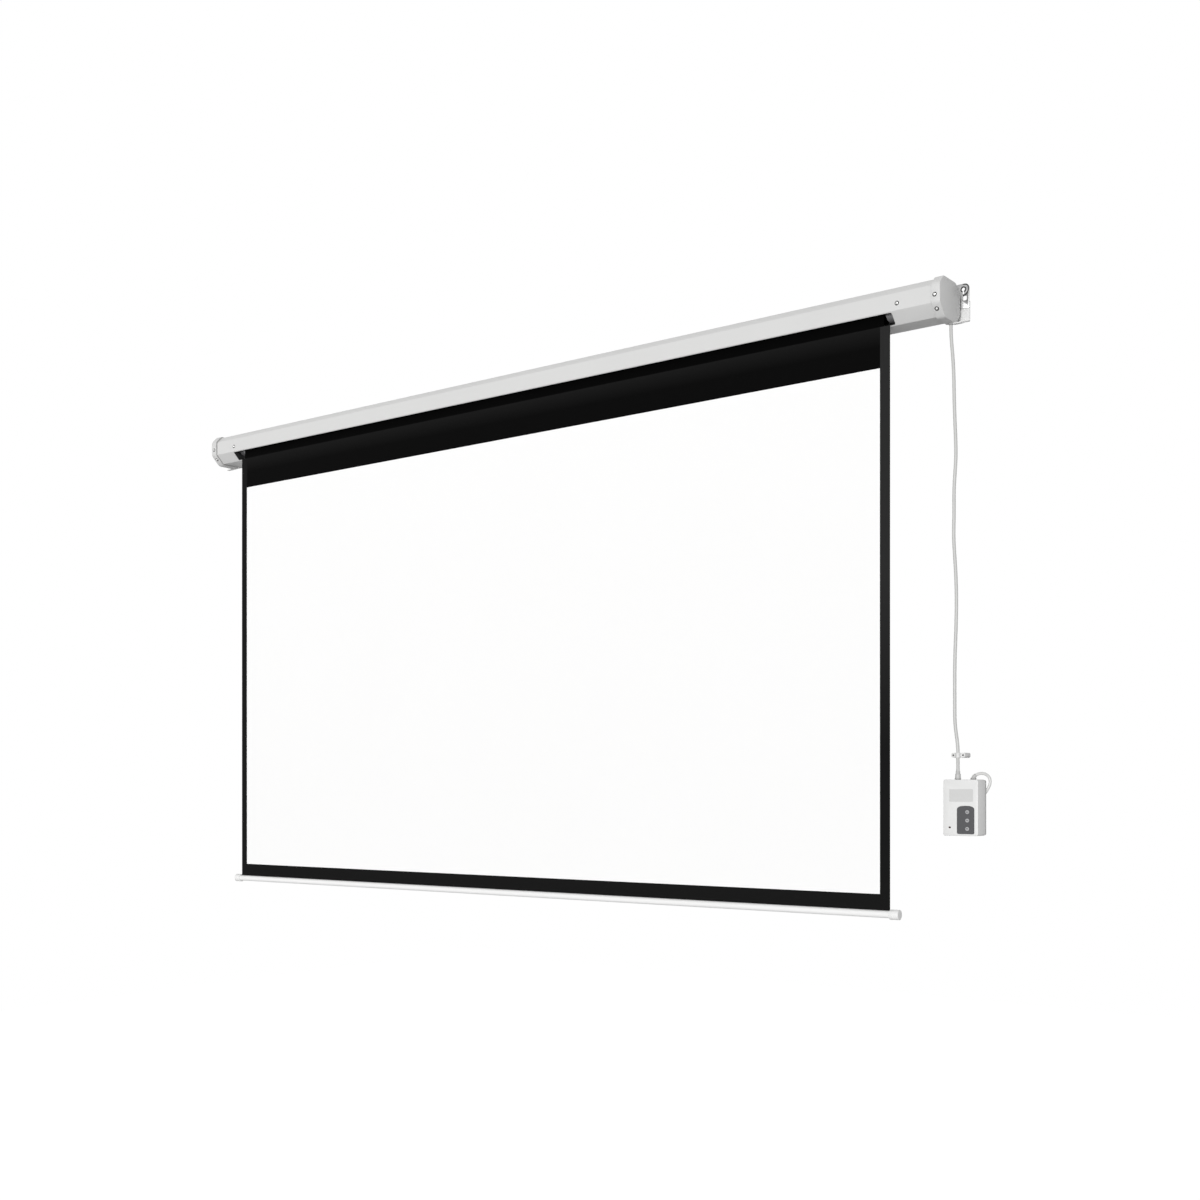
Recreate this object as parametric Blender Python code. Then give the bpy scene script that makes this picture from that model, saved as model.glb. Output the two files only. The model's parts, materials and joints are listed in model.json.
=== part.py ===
"""A motorized projector screen: a wall-hung case with a tube motor inside its roller, the screen
fabric and its bottom bar, and a control box on two cords. Metres, +Z up, +X to the viewer's right.
The wall is the plane Y = 0, and the roller's axis is at Z = 0, half way up the case."""

import math

import bmesh
import bpy
import numpy as np
from mathutils import Vector

# Clearance between seated pieces, round a shaft in its bearing, and where a shaft passes freely
GAP = 0.0003
RUNNING_GAP = 0.0001
FREE_GAP = 0.0005

# Screen fabric
FIELD_WIDTH = 2.210
FIELD_HEIGHT = 1.195
SIDE_BORDER = 0.025
TOP_BORDER = 0.135
BOTTOM_BORDER = 0.037
BACKING_THICKNESS = 0.0005
COATING_THICKNESS = 0.0003

# Case
CASE_HEIGHT = 0.083
CASE_DEPTH = 0.100
CASE_TO_WALL = 0.020
CASE_WALL = 0.0012
CASE_CORNER = 0.003
TOP_CHAMFER = 0.018
SLOT_CHAMFER = 0.026
REAR_CHAMFER = 0.020
SLOT_LIP = 0.002
SLOT_LEFT_ROOM = 0.028
SLOT_RIGHT_ROOM = 0.009

# End caps
CASE_SIDE_ROOM = 0.1290
CAP_FLANGE = 0.0215
CAP_PLATE = 0.003
CAP_WALL = 0.0042
CAP_CORNER = 0.015
CAP_ROUNDING = 0.0022
CORD_OUTLET_RADIUS = 0.0052

# Carriers, which hold the roller inside the case
CARRIER_ROOM = 0.0270
CARRIER_PLATE = 0.0025
TAB_LENGTH = 0.0135
TAB_HALF_HEIGHT = 0.010

# Roller and its wraps of fabric
ROLLER_SETBACK = 0.0415
ROLLER_RADIUS = 0.025
ROLLER_WALL = 0.0015
ROLLER_OVERHANG = 0.003
WRAP_TURNS = 2
WRAP_PITCH = 0.0010
WRAP_POINTS = 36
WRAP_TRIM = 0.015

# Idler end
IDLER_PIN_RADIUS = 0.006
BEARING_RADIUS = 0.014
BEARING_WIDTH = 0.008
IDLER_PLUG_LENGTH = 0.038
IDLER_FLANGE = 0.0165

# Tube motor
MOTOR_RADIUS = 0.0175
MOTOR_WALL = 0.001
MOTOR_LENGTH = 0.420
CROWN_LENGTH = 0.018
CROWN_FLANGE = 0.0037
HEAD_RADIUS = 0.0235
SPIGOT_RADIUS = 0.014
SPIGOT_LENGTH = 0.015
SWITCH_UNIT_LENGTH = 0.050
CAPACITOR_LENGTH = 0.060
CAPACITOR_RADIUS = 0.014
STATOR_LENGTH = 0.110
ROTOR_RADIUS = 0.0095
ROTOR_SHAFT_RADIUS = 0.003
ROTOR_SHAFT_OVERHANG = 0.014
GEARBOX_INSET = 0.006
OUTPUT_SHAFT_RADIUS = 0.005
OUTPUT_SHAFT_LENGTH = 0.070
OUTPUT_SHAFT_SEAT = 0.020
DRIVE_WHEEL_LENGTH = 0.025
LIMIT_SCREW_RADIUS = 0.0022
LIMIT_SCREW_LENGTH = 0.009
LIMIT_SCREW_OFFSET = 0.007

# Bottom bar
BAR_RADIUS = 0.0085
BAR_WALL = 0.0014
BAR_OVERHANG = 0.0115
BAR_CAP_RADIUS = 0.0115
BAR_CAP_CLEAR = 0.0010
BAR_CAP_TIP = 0.0125
BAR_SINK = 0.0005
SPLINE_RADIUS = 0.0018
PARK_GAP = 0.008

# Screws that show on the front
SCREW_HEAD_RADIUS = 0.0034
SCREW_HEAD_HEIGHT = 0.0016
SCREW_HEAD_SHOULDER = 0.93
SCREW_HEAD_FLAT = 0.60
SCREW_SHANK_RADIUS = 0.0016
SCREW_LENGTH = 0.009
CAP_SCREW_INSET = 0.0125
LOWER_SCREW_DOWN = 0.4

# Wall brackets and hanging eyes
BRACKET_INWARD = 0.0270
TONGUE_INWARD = 0.0028
BRACKET_OUTWARD = 0.0166
BRACKET_TOP = 0.012
BRACKET_FOOT = -0.032
BRACKET_THICKNESS = 0.0025
TONGUE_REACH = 0.050
TONGUE_LIP = 0.010
WALL_SCREW_RADIUS = 0.0028
WALL_SCREW_INWARD = 0.0165
WALL_SCREW_Z = (-0.010, -0.024)
EYE_TOP = 0.0523
EYE_CORNER = 0.011
EYE_THICKNESS = 0.0025
EYE_OVERLAP = 0.016
EYE_HOLE_RADIUS = 0.0045
EYE_HOLE_OUTWARD = 0.0024
EYE_HOLE_Z = 0.0394
EYE_SLOT_WIDTH = 0.004
EYE_SLOT_LENGTH = 0.011
EYE_WINDOW_OUTWARD = (0.0015, 0.0107)
EYE_WINDOW_Z = (0.0140, 0.0245)
BOSS_RADIUS = 0.008
BOSS_INWARD = 0.0130
BOSS_Z = 0.006

# Control box
BOX_INWARD = 0.0190
BOX_WIDTH = 0.082
BOX_TOP = -1.070
BOX_HEIGHT = 0.125
BOX_DEPTH = 0.048
BOX_STANDOFF = 0.018
BOX_BACK_DEPTH = 0.0075
BOX_BACK_INSET = 0.0008
BOX_WALL = 0.0024
BOX_CORNER = 0.004
BOX_ROUNDING = 0.0015
LABEL_WIDTH = 0.0566
LABEL_HEIGHT = 0.0287
LABEL_TOP_DOWN = 0.021
LABEL_DEPTH = 0.0008
LABEL_SHIFT = 0.0014
KEYPAD_WIDTH = 0.0404
KEYPAD_HEIGHT = 0.0626
KEYPAD_RIGHT_MARGIN = 0.0085
KEYPAD_BOTTOM_MARGIN = 0.0040
KEYPAD_ARCH = 0.0080
KEYPAD_CORNER = 0.0030
KEYPAD_THICKNESS = 0.0014
KEYPAD_RECESS = 0.0010
BUTTON_RADIUS = 0.0044
BUTTON_PITCH = 0.0186
BUTTON_LOWEST_UP = 0.0156
BUTTON_SHIFT = 0.0042
BUTTON_PROUD = 0.0012
BUTTON_TRAVEL = 0.0012
BOARD_SETBACK = 0.018
BOARD_THICKNESS = 0.0016
BOARD_MARGIN = 0.0065
SWITCH_SIZE = 0.006
SWITCH_HEIGHT = 0.004
POST_RADIUS = 0.003
POST_INSET = 0.011
LED_RADIUS = 0.0015
LED_ACROSS = 0.016
LED_UP = 0.0185
RELAY_SIZE = (0.019, 0.0155, 0.0150)
RELAY_DOWN = 0.012
RELAY_SPACING = 0.005
TRANSFORMER_SIZE = (0.030, 0.0215, 0.026)
TRANSFORMER_DOWN = 0.048
PEG_RADIUS = 0.006
PEG_ABOVE_COIL = 0.0138
FOOT_RADIUS = 0.0035
FOOT_INSET = 0.0065
FOOT_INWARD = 0.0170

# Glands and cords
CORD_DIAMETER = 0.0075
MAINS_DIAMETER = 0.0065
GLAND_ACROSS = 0.0222
GLAND_SETBACK = 0.036
GLAND_NUT_RADIUS = 0.0077
GLAND_NUT_HEIGHT = 0.0070
GLAND_HEIGHT = 0.0190
MAINS_GLAND_ACROSS = 0.0580
MAINS_GLAND_SETBACK = 0.034
MAINS_NUT_RADIUS = 0.0066
MAINS_NUT_HEIGHT = 0.0035
GLAND_NECK = 0.0048
GLAND_SINK = 0.007
CLIP_HALF_WIDTH = 0.0165
CLIP_HEIGHT = 0.011
CLIP_WALL = 0.0016
CLIP_CORD_ROOM = 0.0006
CLIP_OUTWARD = 0.0010
CLIP_SETBACK = 0.0310
CLIP_ABOVE_BOX = 0.0550
CLIP_STRAIGHT = 0.0150
COIL_TURNS = 6
COIL_POINTS = 24
COIL_MID_RADIUS = 0.033
COIL_PITCH = 0.0070
COIL_ACROSS = 0.0255
COIL_DOWN = 0.0478
TIE_WIDTH = 0.005
TIE_THICKNESS = 0.0008
TIE_ROOM = 0.0005
PLUG_SIZE = (0.028, 0.0130, 0.0210)
PLUG_DOWN = 0.1090
PLUG_ACROSS = 0.0425
PIN_LENGTH = 0.017
PIN_SIZE = (0.0015, 0.0060)
PIN_SPACING = 0.0125

# Places worked out from the sizes above
FABRIC_HALF = FIELD_WIDTH / 2 + SIDE_BORDER
HALF_LENGTH = FABRIC_HALF + CASE_SIDE_ROOM
CASE_BACK = -CASE_TO_WALL
CASE_FRONT = CASE_BACK - CASE_DEPTH
CASE_TOP = CASE_HEIGHT / 2
CASE_BOTTOM = -CASE_HEIGHT / 2
CASE_END = HALF_LENGTH - CAP_PLATE - GAP
CAP_START = HALF_LENGTH - CAP_FLANGE
CAP_PROUD = GAP + CAP_WALL
ROLLER_Y = CASE_FRONT + ROLLER_SETBACK
ROLLER_HALF = FABRIC_HALF + ROLLER_OVERHANG
ROLLER_BORE = ROLLER_RADIUS - ROLLER_WALL
CARRIER_X = ROLLER_HALF + CARRIER_ROOM
WRAP_START = ROLLER_RADIUS + GAP + BACKING_THICKNESS / 2
WRAP_END = WRAP_START + WRAP_TURNS * WRAP_PITCH
FABRIC_Y = ROLLER_Y - WRAP_END
FIELD_TOP = -TOP_BORDER
FIELD_BOTTOM = FIELD_TOP - FIELD_HEIGHT
BAR_TOP = FIELD_BOTTOM - BOTTOM_BORDER
BAR_Z = BAR_TOP - BAR_RADIUS + BAR_SINK
BAR_HALF_LENGTH = FABRIC_HALF + BAR_OVERHANG
BAR_CAP_START = FABRIC_HALF + BAR_CAP_CLEAR
BAR_CAP_END = BAR_HALF_LENGTH + BAR_CAP_TIP
BAR_TRAVEL = CASE_BOTTOM - CAP_PROUD - PARK_GAP - (BAR_Z + BAR_CAP_RADIUS)
ROLLER_RATIO = (ROLLER_RADIUS + WRAP_END) / 2
HEAD_START = ROLLER_HALF + GAP + CROWN_FLANGE + GAP
BRACKET_INNER_X = HALF_LENGTH - BRACKET_INWARD
TONGUE_INNER_X = HALF_LENGTH - TONGUE_INWARD
BRACKET_OUTER_X = HALF_LENGTH + BRACKET_OUTWARD
WALL_SCREW_X = HALF_LENGTH - WALL_SCREW_INWARD
EYE_HOLE_X = HALF_LENGTH + EYE_HOLE_OUTWARD
EYE_WINDOW = (*(HALF_LENGTH + x for x in EYE_WINDOW_OUTWARD), *EYE_WINDOW_Z)
BOSS_X = HALF_LENGTH - BOSS_INWARD
BOX_LEFT = HALF_LENGTH - BOX_INWARD
BOX_RIGHT = BOX_LEFT + BOX_WIDTH
BOX_BOTTOM = BOX_TOP - BOX_HEIGHT
BOX_MID_X = BOX_LEFT + BOX_WIDTH / 2
BOX_MID_Z = BOX_TOP - BOX_HEIGHT / 2
BOX_BACK_Y = -BOX_STANDOFF
BOX_FRONT_Y = BOX_BACK_Y - BOX_DEPTH
COVER_BACK_Y = BOX_BACK_Y - BOX_BACK_DEPTH
BOARD_FRONT_Y = BOX_FRONT_Y + BOARD_SETBACK
BOARD_BACK_Y = BOARD_FRONT_Y + BOARD_THICKNESS
GLAND_X = BOX_LEFT + GLAND_ACROSS
MAINS_GLAND_X = BOX_LEFT + MAINS_GLAND_ACROSS
PLUG_X = BOX_LEFT + PLUG_ACROSS
PLUG_CENTRE_Z = BOX_TOP - PLUG_DOWN
COIL_CENTRE = (BOX_LEFT + COIL_ACROSS, BOX_TOP - COIL_DOWN)
COIL_INNER = COIL_MID_RADIUS - COIL_TURNS * COIL_PITCH / 4
COIL_OUTER = COIL_MID_RADIUS + COIL_TURNS * COIL_PITCH / 4
COIL_FRONT_Y = -BOX_STANDOFF / 2 - COIL_PITCH / 2
COIL_BACK_Y = -BOX_STANDOFF / 2 + COIL_PITCH / 2
COIL_ENTRY = (COIL_CENTRE[0] + COIL_OUTER, COIL_CENTRE[1])
OUTLET = (HALF_LENGTH - 0.0100, -0.0440)
GROMMET_BOTTOM = CASE_BOTTOM - CAP_PROUD - 0.0022

# Routes of the cords, chosen by hand
CLIP_CORD = (HALF_LENGTH + CLIP_OUTWARD, -CLIP_SETBACK)
CLIP_Z = BOX_TOP + CLIP_ABOVE_BOX
SPAN_TOP = GROMMET_BOTTOM - 2 * GAP
SPAN_LOW = CLIP_Z + CLIP_STRAIGHT / 2
# Points between the case and the clip: share of the way down, X from the case's end, and Y
MOTOR_CORD_SWAY = [
    (0.0160, -0.0098, -0.0440),
    (0.0824, -0.0055, -0.0430),
    (0.1784, -0.0032, -0.0413),
    (0.2464, -0.0013, -0.0403),
    (0.3121, -0.0005, -0.0393),
    (0.3765, -0.0047, -0.0383),
    (0.4493, -0.0058, -0.0372),
    (0.4887, -0.0067, -0.0366),
    (0.5594, -0.0035, -0.0356),
    (0.6463, -0.0013, -0.0342),
    (0.7141, -0.0028, -0.0335),
    (0.7888, -0.0055, -0.0330),
    (0.8898, -0.0061, -0.0323),
    (0.9451, -0.0045, -0.0317),
    (0.9795, -0.0002, -0.0311),
]
MOTOR_CORD_ROUTE = [
    (*OUTLET, SPAN_TOP),
    *((HALF_LENGTH + x, y, SPAN_TOP + share * (SPAN_LOW - SPAN_TOP)) for share, x, y in MOTOR_CORD_SWAY),
    (*CLIP_CORD, SPAN_LOW),
    (*CLIP_CORD, CLIP_Z - CLIP_STRAIGHT / 2),
    (GLAND_X - 0.0013, -GLAND_SETBACK + 0.0027, CLIP_Z - 0.0190),
    (GLAND_X, -GLAND_SETBACK, BOX_TOP + GLAND_HEIGHT + 0.0060),
    (GLAND_X, -GLAND_SETBACK, BOX_TOP + GLAND_HEIGHT + 0.0009),
]
# Points of the mains cord from its gland to the coil: X from the box's left side, Y, and Z from its top
MAINS_ARCH = [
    (0.0586, -0.0335, 0.0050),
    (0.0622, -0.0305, 0.0100),
    (0.0675, -0.0262, 0.0130),
    (0.0735, -0.0212, 0.0138),
    (0.0800, -0.0157, 0.0115),
    (0.0850, -0.0114, 0.0055),
    (0.0870, -0.0096, -0.0035),
    (0.0845, -0.0099, -0.0150),
    (0.0765, -0.0110, -0.0290),
    (0.0703, -0.0123, -0.0405),
]
MAINS_ROUTE = [
    (MAINS_GLAND_X, -MAINS_GLAND_SETBACK, BOX_TOP + 0.001),
    *((BOX_LEFT + x, y, BOX_TOP + z) for x, y, z in MAINS_ARCH),
    (COIL_ENTRY[0], COIL_FRONT_Y, COIL_ENTRY[1] + 2 * GAP),
]
MAINS_SLEEVE_LENGTH = 0.0110
TAIL_BEND = [
    (0.0693, -0.0056, -0.0600),
    (0.0685, -0.0062, -0.0750),
    (0.0645, -0.0072, -0.0900),
    (0.0575, -0.0083, -0.1025),
]
TAIL_ROUTE = [
    (COIL_ENTRY[0], COIL_BACK_Y, COIL_ENTRY[1] - 2 * GAP),
    *((BOX_LEFT + x, y, BOX_TOP + z) for x, y, z in TAIL_BEND),
    (PLUG_X + 0.0070, -BOX_STANDOFF / 2, PLUG_CENTRE_Z - 0.0002),
    (PLUG_X + 2 * GAP, -BOX_STANDOFF / 2, PLUG_CENTRE_Z),
]
# Points of the lead inside the case: X from the motor's carrier or from the case's end, Y and Z
INNER_LEAD_ROUTE = [
    (CARRIER_X + SPIGOT_LENGTH + 2 * GAP, ROLLER_Y + 0.008, 0.000),
    (CARRIER_X + 0.0320, -0.0690, -0.002),
    (CARRIER_X + 0.0550, -0.0620, -0.011),
    (HALF_LENGTH - 0.0230, -0.0520, -0.019),
    (HALF_LENGTH - 0.0115, -0.0455, -0.028),
    (*OUTLET, -0.035),
    (*OUTLET, CASE_BOTTOM + CASE_WALL + GAP),
]

# Finishes: name, colour, roughness, metallic
LOOKS = {
    "case_paint": ((0.80, 0.80, 0.80), 0.45, 0.0),
    "cap_plastic": ((0.74, 0.74, 0.74), 0.45, 0.0),
    "zinc": ((0.45, 0.45, 0.44), 0.35, 1.0),
    "steel": ((0.55, 0.55, 0.56), 0.35, 1.0),
    "aluminium": ((0.90, 0.90, 0.90), 0.35, 0.9),
    "copper_core": ((0.50, 0.30, 0.18), 0.4, 0.8),
    "dark_plastic": ((0.10, 0.10, 0.105), 0.5, 0.0),
    "black_fabric": ((0.015, 0.015, 0.017), 0.8, 0.0),
    "white_fabric": ((0.93, 0.93, 0.93), 0.85, 0.0),
    "white_plastic": ((0.86, 0.86, 0.86), 0.4, 0.0),
    "keypad_grey": ((0.09, 0.09, 0.10), 0.5, 0.0),
    "key_grey": ((0.42, 0.42, 0.43), 0.45, 0.0),
    "board_green": ((0.05, 0.22, 0.10), 0.5, 0.0),
    "relay_blue": ((0.06, 0.15, 0.40), 0.45, 0.0),
    "led_red": ((0.60, 0.05, 0.04), 0.3, 0.0),
    "cord_white": ((0.82, 0.82, 0.82), 0.5, 0.0),
}


def clear_scene():
    """Removes every object of the startup scene."""
    for obj in list(bpy.data.objects):
        bpy.data.objects.remove(obj, do_unlink=True)


def look(name):
    """The material of this name, made on its first use."""
    if name in bpy.data.materials:
        return bpy.data.materials[name]
    colour, roughness, metallic = LOOKS[name]
    material = bpy.data.materials.new(name)
    material.use_nodes = True
    shader = material.node_tree.nodes["Principled BSDF"]
    shader.inputs["Base Color"].default_value = (*colour, 1)
    shader.inputs["Roughness"].default_value = roughness
    shader.inputs["Metallic"].default_value = metallic
    return material


def make_object(name, bm, finish, origin=(0, 0, 0)):
    """An object from a bmesh in world space, with its origin at the given point."""
    bmesh.ops.recalc_face_normals(bm, faces=bm.faces)
    bmesh.ops.translate(bm, verts=bm.verts, vec=-Vector(origin))
    mesh = bpy.data.meshes.new(name)
    bm.to_mesh(mesh)
    bm.free()
    mesh.shade_smooth()
    mesh.set_sharp_from_angle(angle=math.radians(35))
    obj = bpy.data.objects.new(name, mesh)
    obj.location = origin
    if finish:
        mesh.materials.append(look(finish))
    bpy.context.scene.collection.objects.link(obj)
    return obj


def helper(name, bm):
    """A cutter or a shape to be joined, which doesn't render."""
    obj = make_object(name, bm, None)
    obj.hide_render = True
    obj.display_type = "WIRE"
    return obj


def combine(obj, other, operation="DIFFERENCE"):
    """Cuts a helper from an object, or joins it on."""
    modifier = obj.modifiers.new(other.name, "BOOLEAN")
    modifier.operation = operation
    modifier.object = other


def on_axis(axis, along, a, b):
    """A point at a distance along an axis, with its two other coordinates in X, Y, Z order."""
    if axis == "X":
        return (along, a, b)
    if axis == "Y":
        return (a, along, b)
    return (a, b, along)


def loft(rings, bm=None):
    """A closed body through rings of equal counts, capped at its first and last ring."""
    bm = bm or bmesh.new()
    made = [[bm.verts.new(point) for point in ring] for ring in rings]
    for low, high in zip(made, made[1:]):
        for i in range(len(low)):
            j = (i + 1) % len(low)
            bm.faces.new((low[i], low[j], high[j], high[i]))
    bm.faces.new(made[0])
    bm.faces.new(made[-1])
    return bm


def prism(outline, low, high, axis="X", bm=None):
    """An outline pushed from one place to another along an axis."""
    return loft([[on_axis(axis, at, a, b) for a, b in outline] for at in (low, high)], bm)


def hollow_prism(outer, inner, low, high, axis="X"):
    """A tube whose outer and inner outlines have equal counts, open at both ends."""
    bm = bmesh.new()
    rings = []
    for outline, at in ((outer, low), (outer, high), (inner, high), (inner, low)):
        rings.append([bm.verts.new(on_axis(axis, at, a, b)) for a, b in outline])
    for low_ring, high_ring in zip(rings, rings[1:] + rings[:1]):
        for i in range(len(low_ring)):
            j = (i + 1) % len(low_ring)
            bm.faces.new((low_ring[i], low_ring[j], high_ring[j], high_ring[i]))
    return bm


def circle(radius, sides, centre=(0, 0), turn=0.0):
    """Points of a regular polygon on a circle."""
    steps = [turn + 2 * math.pi * i / sides for i in range(sides)]
    return [(centre[0] + radius * math.cos(a), centre[1] + radius * math.sin(a)) for a in steps]


def turned(profile, centre, axis="X", sides=32, bm=None):
    """A closed profile of (along, radius) turned about an axis; a radius of 0 is a pole."""
    bm = bm or bmesh.new()
    rings = []
    for along, radius in profile:
        if radius == 0:
            rings.append([bm.verts.new(on_axis(axis, along, *centre))])
        else:
            points = circle(radius, sides, centre)
            rings.append([bm.verts.new(on_axis(axis, along, a, b)) for a, b in points])
    for low, high in zip(rings, rings[1:] + rings[:1]):
        if len(low) == 1 and len(high) == 1:
            continue
        for i in range(sides):
            j = (i + 1) % sides
            corners = [low[i % len(low)], low[j % len(low)], high[j % len(high)], high[i % len(high)]]
            bm.faces.new(list(dict.fromkeys(corners)))
    return bm


def tube_profile(low, high, outer, inner):
    """The profile of a plain tube or ring."""
    return [(low, outer), (high, outer), (high, inner), (low, inner)]


def rod_profile(low, high, radius):
    """The profile of a plain rod."""
    return [(low, 0), (low, radius), (high, radius), (high, 0)]


def box(low, high, bm=None):
    """A box between two corners."""
    outline = [(low[0], low[1]), (high[0], low[1]), (high[0], high[1]), (low[0], high[1])]
    return prism(outline, low[2], high[2], "Z", bm)


def offset_outline(corners, distance):
    """A counterclockwise outline with each edge moved outwards."""
    moved = []
    for i, here in enumerate(corners):
        before, after = corners[i - 1], corners[(i + 1) % len(corners)]
        first = np.subtract(here, before) / np.linalg.norm(np.subtract(here, before))
        second = np.subtract(after, here) / np.linalg.norm(np.subtract(after, here))
        half = np.array([first[1] + second[1], -first[0] - second[0]])
        moved.append(tuple(np.array(here) + 2 * distance * half / half.dot(half)))
    return moved


def rounded(corners, radius, steps=3):
    """A counterclockwise outline with an arc at each corner."""
    points = []
    for i, here in enumerate(corners):
        here = np.array(here)
        before = np.array(corners[i - 1]) - here
        after = np.array(corners[(i + 1) % len(corners)]) - here
        before, after = before / np.linalg.norm(before), after / np.linalg.norm(after)
        half = math.acos(float(np.clip(before.dot(after), -1, 1))) / 2
        middle = (before + after) / np.linalg.norm(before + after)
        centre = here + middle * radius / math.sin(half)
        first = here + before * radius / math.tan(half) - centre
        last = here + after * radius / math.tan(half) - centre
        start = math.atan2(first[1], first[0])
        sweep = (math.atan2(last[1], last[0]) - start + math.pi) % (2 * math.pi) - math.pi
        for k in range(steps + 1):
            angle = start + sweep * k / steps
            points.append((centre[0] + radius * math.cos(angle), centre[1] + radius * math.sin(angle)))
    return points


def rectangle(left, right, bottom, top):
    """Corners of a rectangle, counterclockwise."""
    return [(left, bottom), (right, bottom), (right, top), (left, top)]


def case_corners():
    """The case's profile across its length, as (y, z)."""
    return [
        (CASE_FRONT, CASE_BOTTOM + SLOT_CHAMFER),
        (CASE_FRONT + SLOT_CHAMFER, CASE_BOTTOM),
        (CASE_BACK - REAR_CHAMFER, CASE_BOTTOM),
        (CASE_BACK, CASE_BOTTOM + REAR_CHAMFER),
        (CASE_BACK, CASE_TOP - REAR_CHAMFER),
        (CASE_BACK - REAR_CHAMFER, CASE_TOP),
        (CASE_FRONT + TOP_CHAMFER, CASE_TOP),
        (CASE_FRONT, CASE_TOP - TOP_CHAMFER),
    ]


def case_outline(grow, radius):
    """The case's rounded profile, grown outwards or inwards."""
    return rounded(offset_outline(case_corners(), grow), radius)


def ribbon(path, thickness):
    """The outline of a thin sheet along a path of points in a plane."""
    path = np.array(path, float)
    along = np.gradient(path, axis=0)
    along /= np.linalg.norm(along, axis=1)[:, None]
    side = np.column_stack([-along[:, 1], along[:, 0]]) * thickness / 2
    return [tuple(p) for p in np.vstack([path + side, (path - side)[::-1]])]


def smooth_line(route, spacing, start=0.0, end=math.inf):
    """Even points along a natural cubic spline through a route, and their run along it."""
    route = np.array(route, float)
    chord = np.linalg.norm(np.diff(route, axis=0), axis=1)
    knots = np.concatenate([[0], np.cumsum(chord)])
    count = len(route)
    matrix, right = np.eye(count), np.zeros((count, 3))
    for i in range(1, count - 1):
        matrix[i, i - 1 : i + 2] = chord[i - 1], 2 * (chord[i - 1] + chord[i]), chord[i]
        slopes = np.diff(route[i - 1 : i + 2], axis=0) / chord[i - 1 : i + 1, None]
        right[i] = 6 * (slopes[1] - slopes[0])
    second = np.linalg.solve(matrix, right)

    def at(s):
        i = int(min(max(np.searchsorted(knots, s) - 1, 0), count - 2))
        h, a, b = chord[i], knots[i + 1] - s, s - knots[i]
        bend = (second[i] * (a**3 / h - h * a) + second[i + 1] * (b**3 / h - h * b)) / 6
        return route[i] * a / h + route[i + 1] * b / h + bend

    fine = np.array([at(s) for s in np.linspace(0, knots[-1], 60 * count)])
    run = np.concatenate([[0], np.cumsum(np.linalg.norm(np.diff(fine, axis=0), axis=1))])
    end = min(end, run[-1])
    steps = max(2, round((end - start) / spacing))
    wanted = np.linspace(start, end, steps + 1)
    line = np.column_stack([np.interp(wanted, run, fine[:, k]) for k in range(3)])
    return line, float(end - start)


def cord_object(name, line, diameter, finish, resolution):
    """A cord as a bevelled curve with filled ends."""
    curve = bpy.data.curves.new(name, "CURVE")
    curve.dimensions = "3D"
    curve.bevel_depth = diameter / 2
    curve.bevel_resolution = resolution
    curve.use_fill_caps = True
    spline = curve.splines.new("POLY")
    spline.points.add(len(line) - 1)
    for point, place in zip(spline.points, line):
        point.co = (*place, 1)
    curve.materials.append(look(finish))
    obj = bpy.data.objects.new(name, curve)
    bpy.context.scene.collection.objects.link(obj)
    return obj


def cross_recess(name, centre, outwards, across=0.0034, width=0.0009, depth=0.0009):
    """A cutter for the cross in a screw's head."""
    a, b = across / 2, width / 2
    quarter = [(a, -b), (a, b), (b, b)]
    outline = []
    for _ in range(4):
        outline += quarter
        quarter = [(-y, x) for x, y in quarter]
    bm = prism(outline, -depth, depth, "Z")
    turn = Vector((0, 0, 1)).rotation_difference(Vector(outwards)).to_matrix()
    bmesh.ops.rotate(bm, cent=(0, 0, 0), matrix=turn, verts=bm.verts)
    bmesh.ops.translate(bm, verts=bm.verts, vec=centre)
    return helper(name, bm)


def screw(name, seat, outwards, length=SCREW_LENGTH, finish="zinc"):
    """A pan-head screw whose head sits at a seat, and the cutter for its hole."""
    head, shank = SCREW_HEAD_RADIUS, SCREW_SHANK_RADIUS
    profile = [
        (-length, 0),
        (-length, shank * 0.5),
        (-length + shank, shank),
        (GAP, shank),
        (GAP, head),
        (GAP + SCREW_HEAD_HEIGHT / 2, head * SCREW_HEAD_SHOULDER),
        (GAP + SCREW_HEAD_HEIGHT, head * SCREW_HEAD_FLAT),
        (GAP + SCREW_HEAD_HEIGHT, 0),
    ]
    turn = Vector((0, 0, 1)).rotation_difference(Vector(outwards)).to_matrix()
    made = []
    for shape in (profile, rod_profile(-length - 0.001, 0.001, shank + GAP)):
        bm = turned(shape, (0, 0), "Z", 12)
        bmesh.ops.rotate(bm, cent=(0, 0, 0), matrix=turn, verts=bm.verts)
        bmesh.ops.translate(bm, verts=bm.verts, vec=seat)
        made.append(bm)
    obj = make_object(name, made[0], finish)
    top = Vector(seat) + Vector(outwards).normalized() * (GAP + SCREW_HEAD_HEIGHT)
    combine(obj, cross_recess(f"{name}_recess", top, outwards))
    return obj, helper(f"{name}_hole", made[1])


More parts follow.
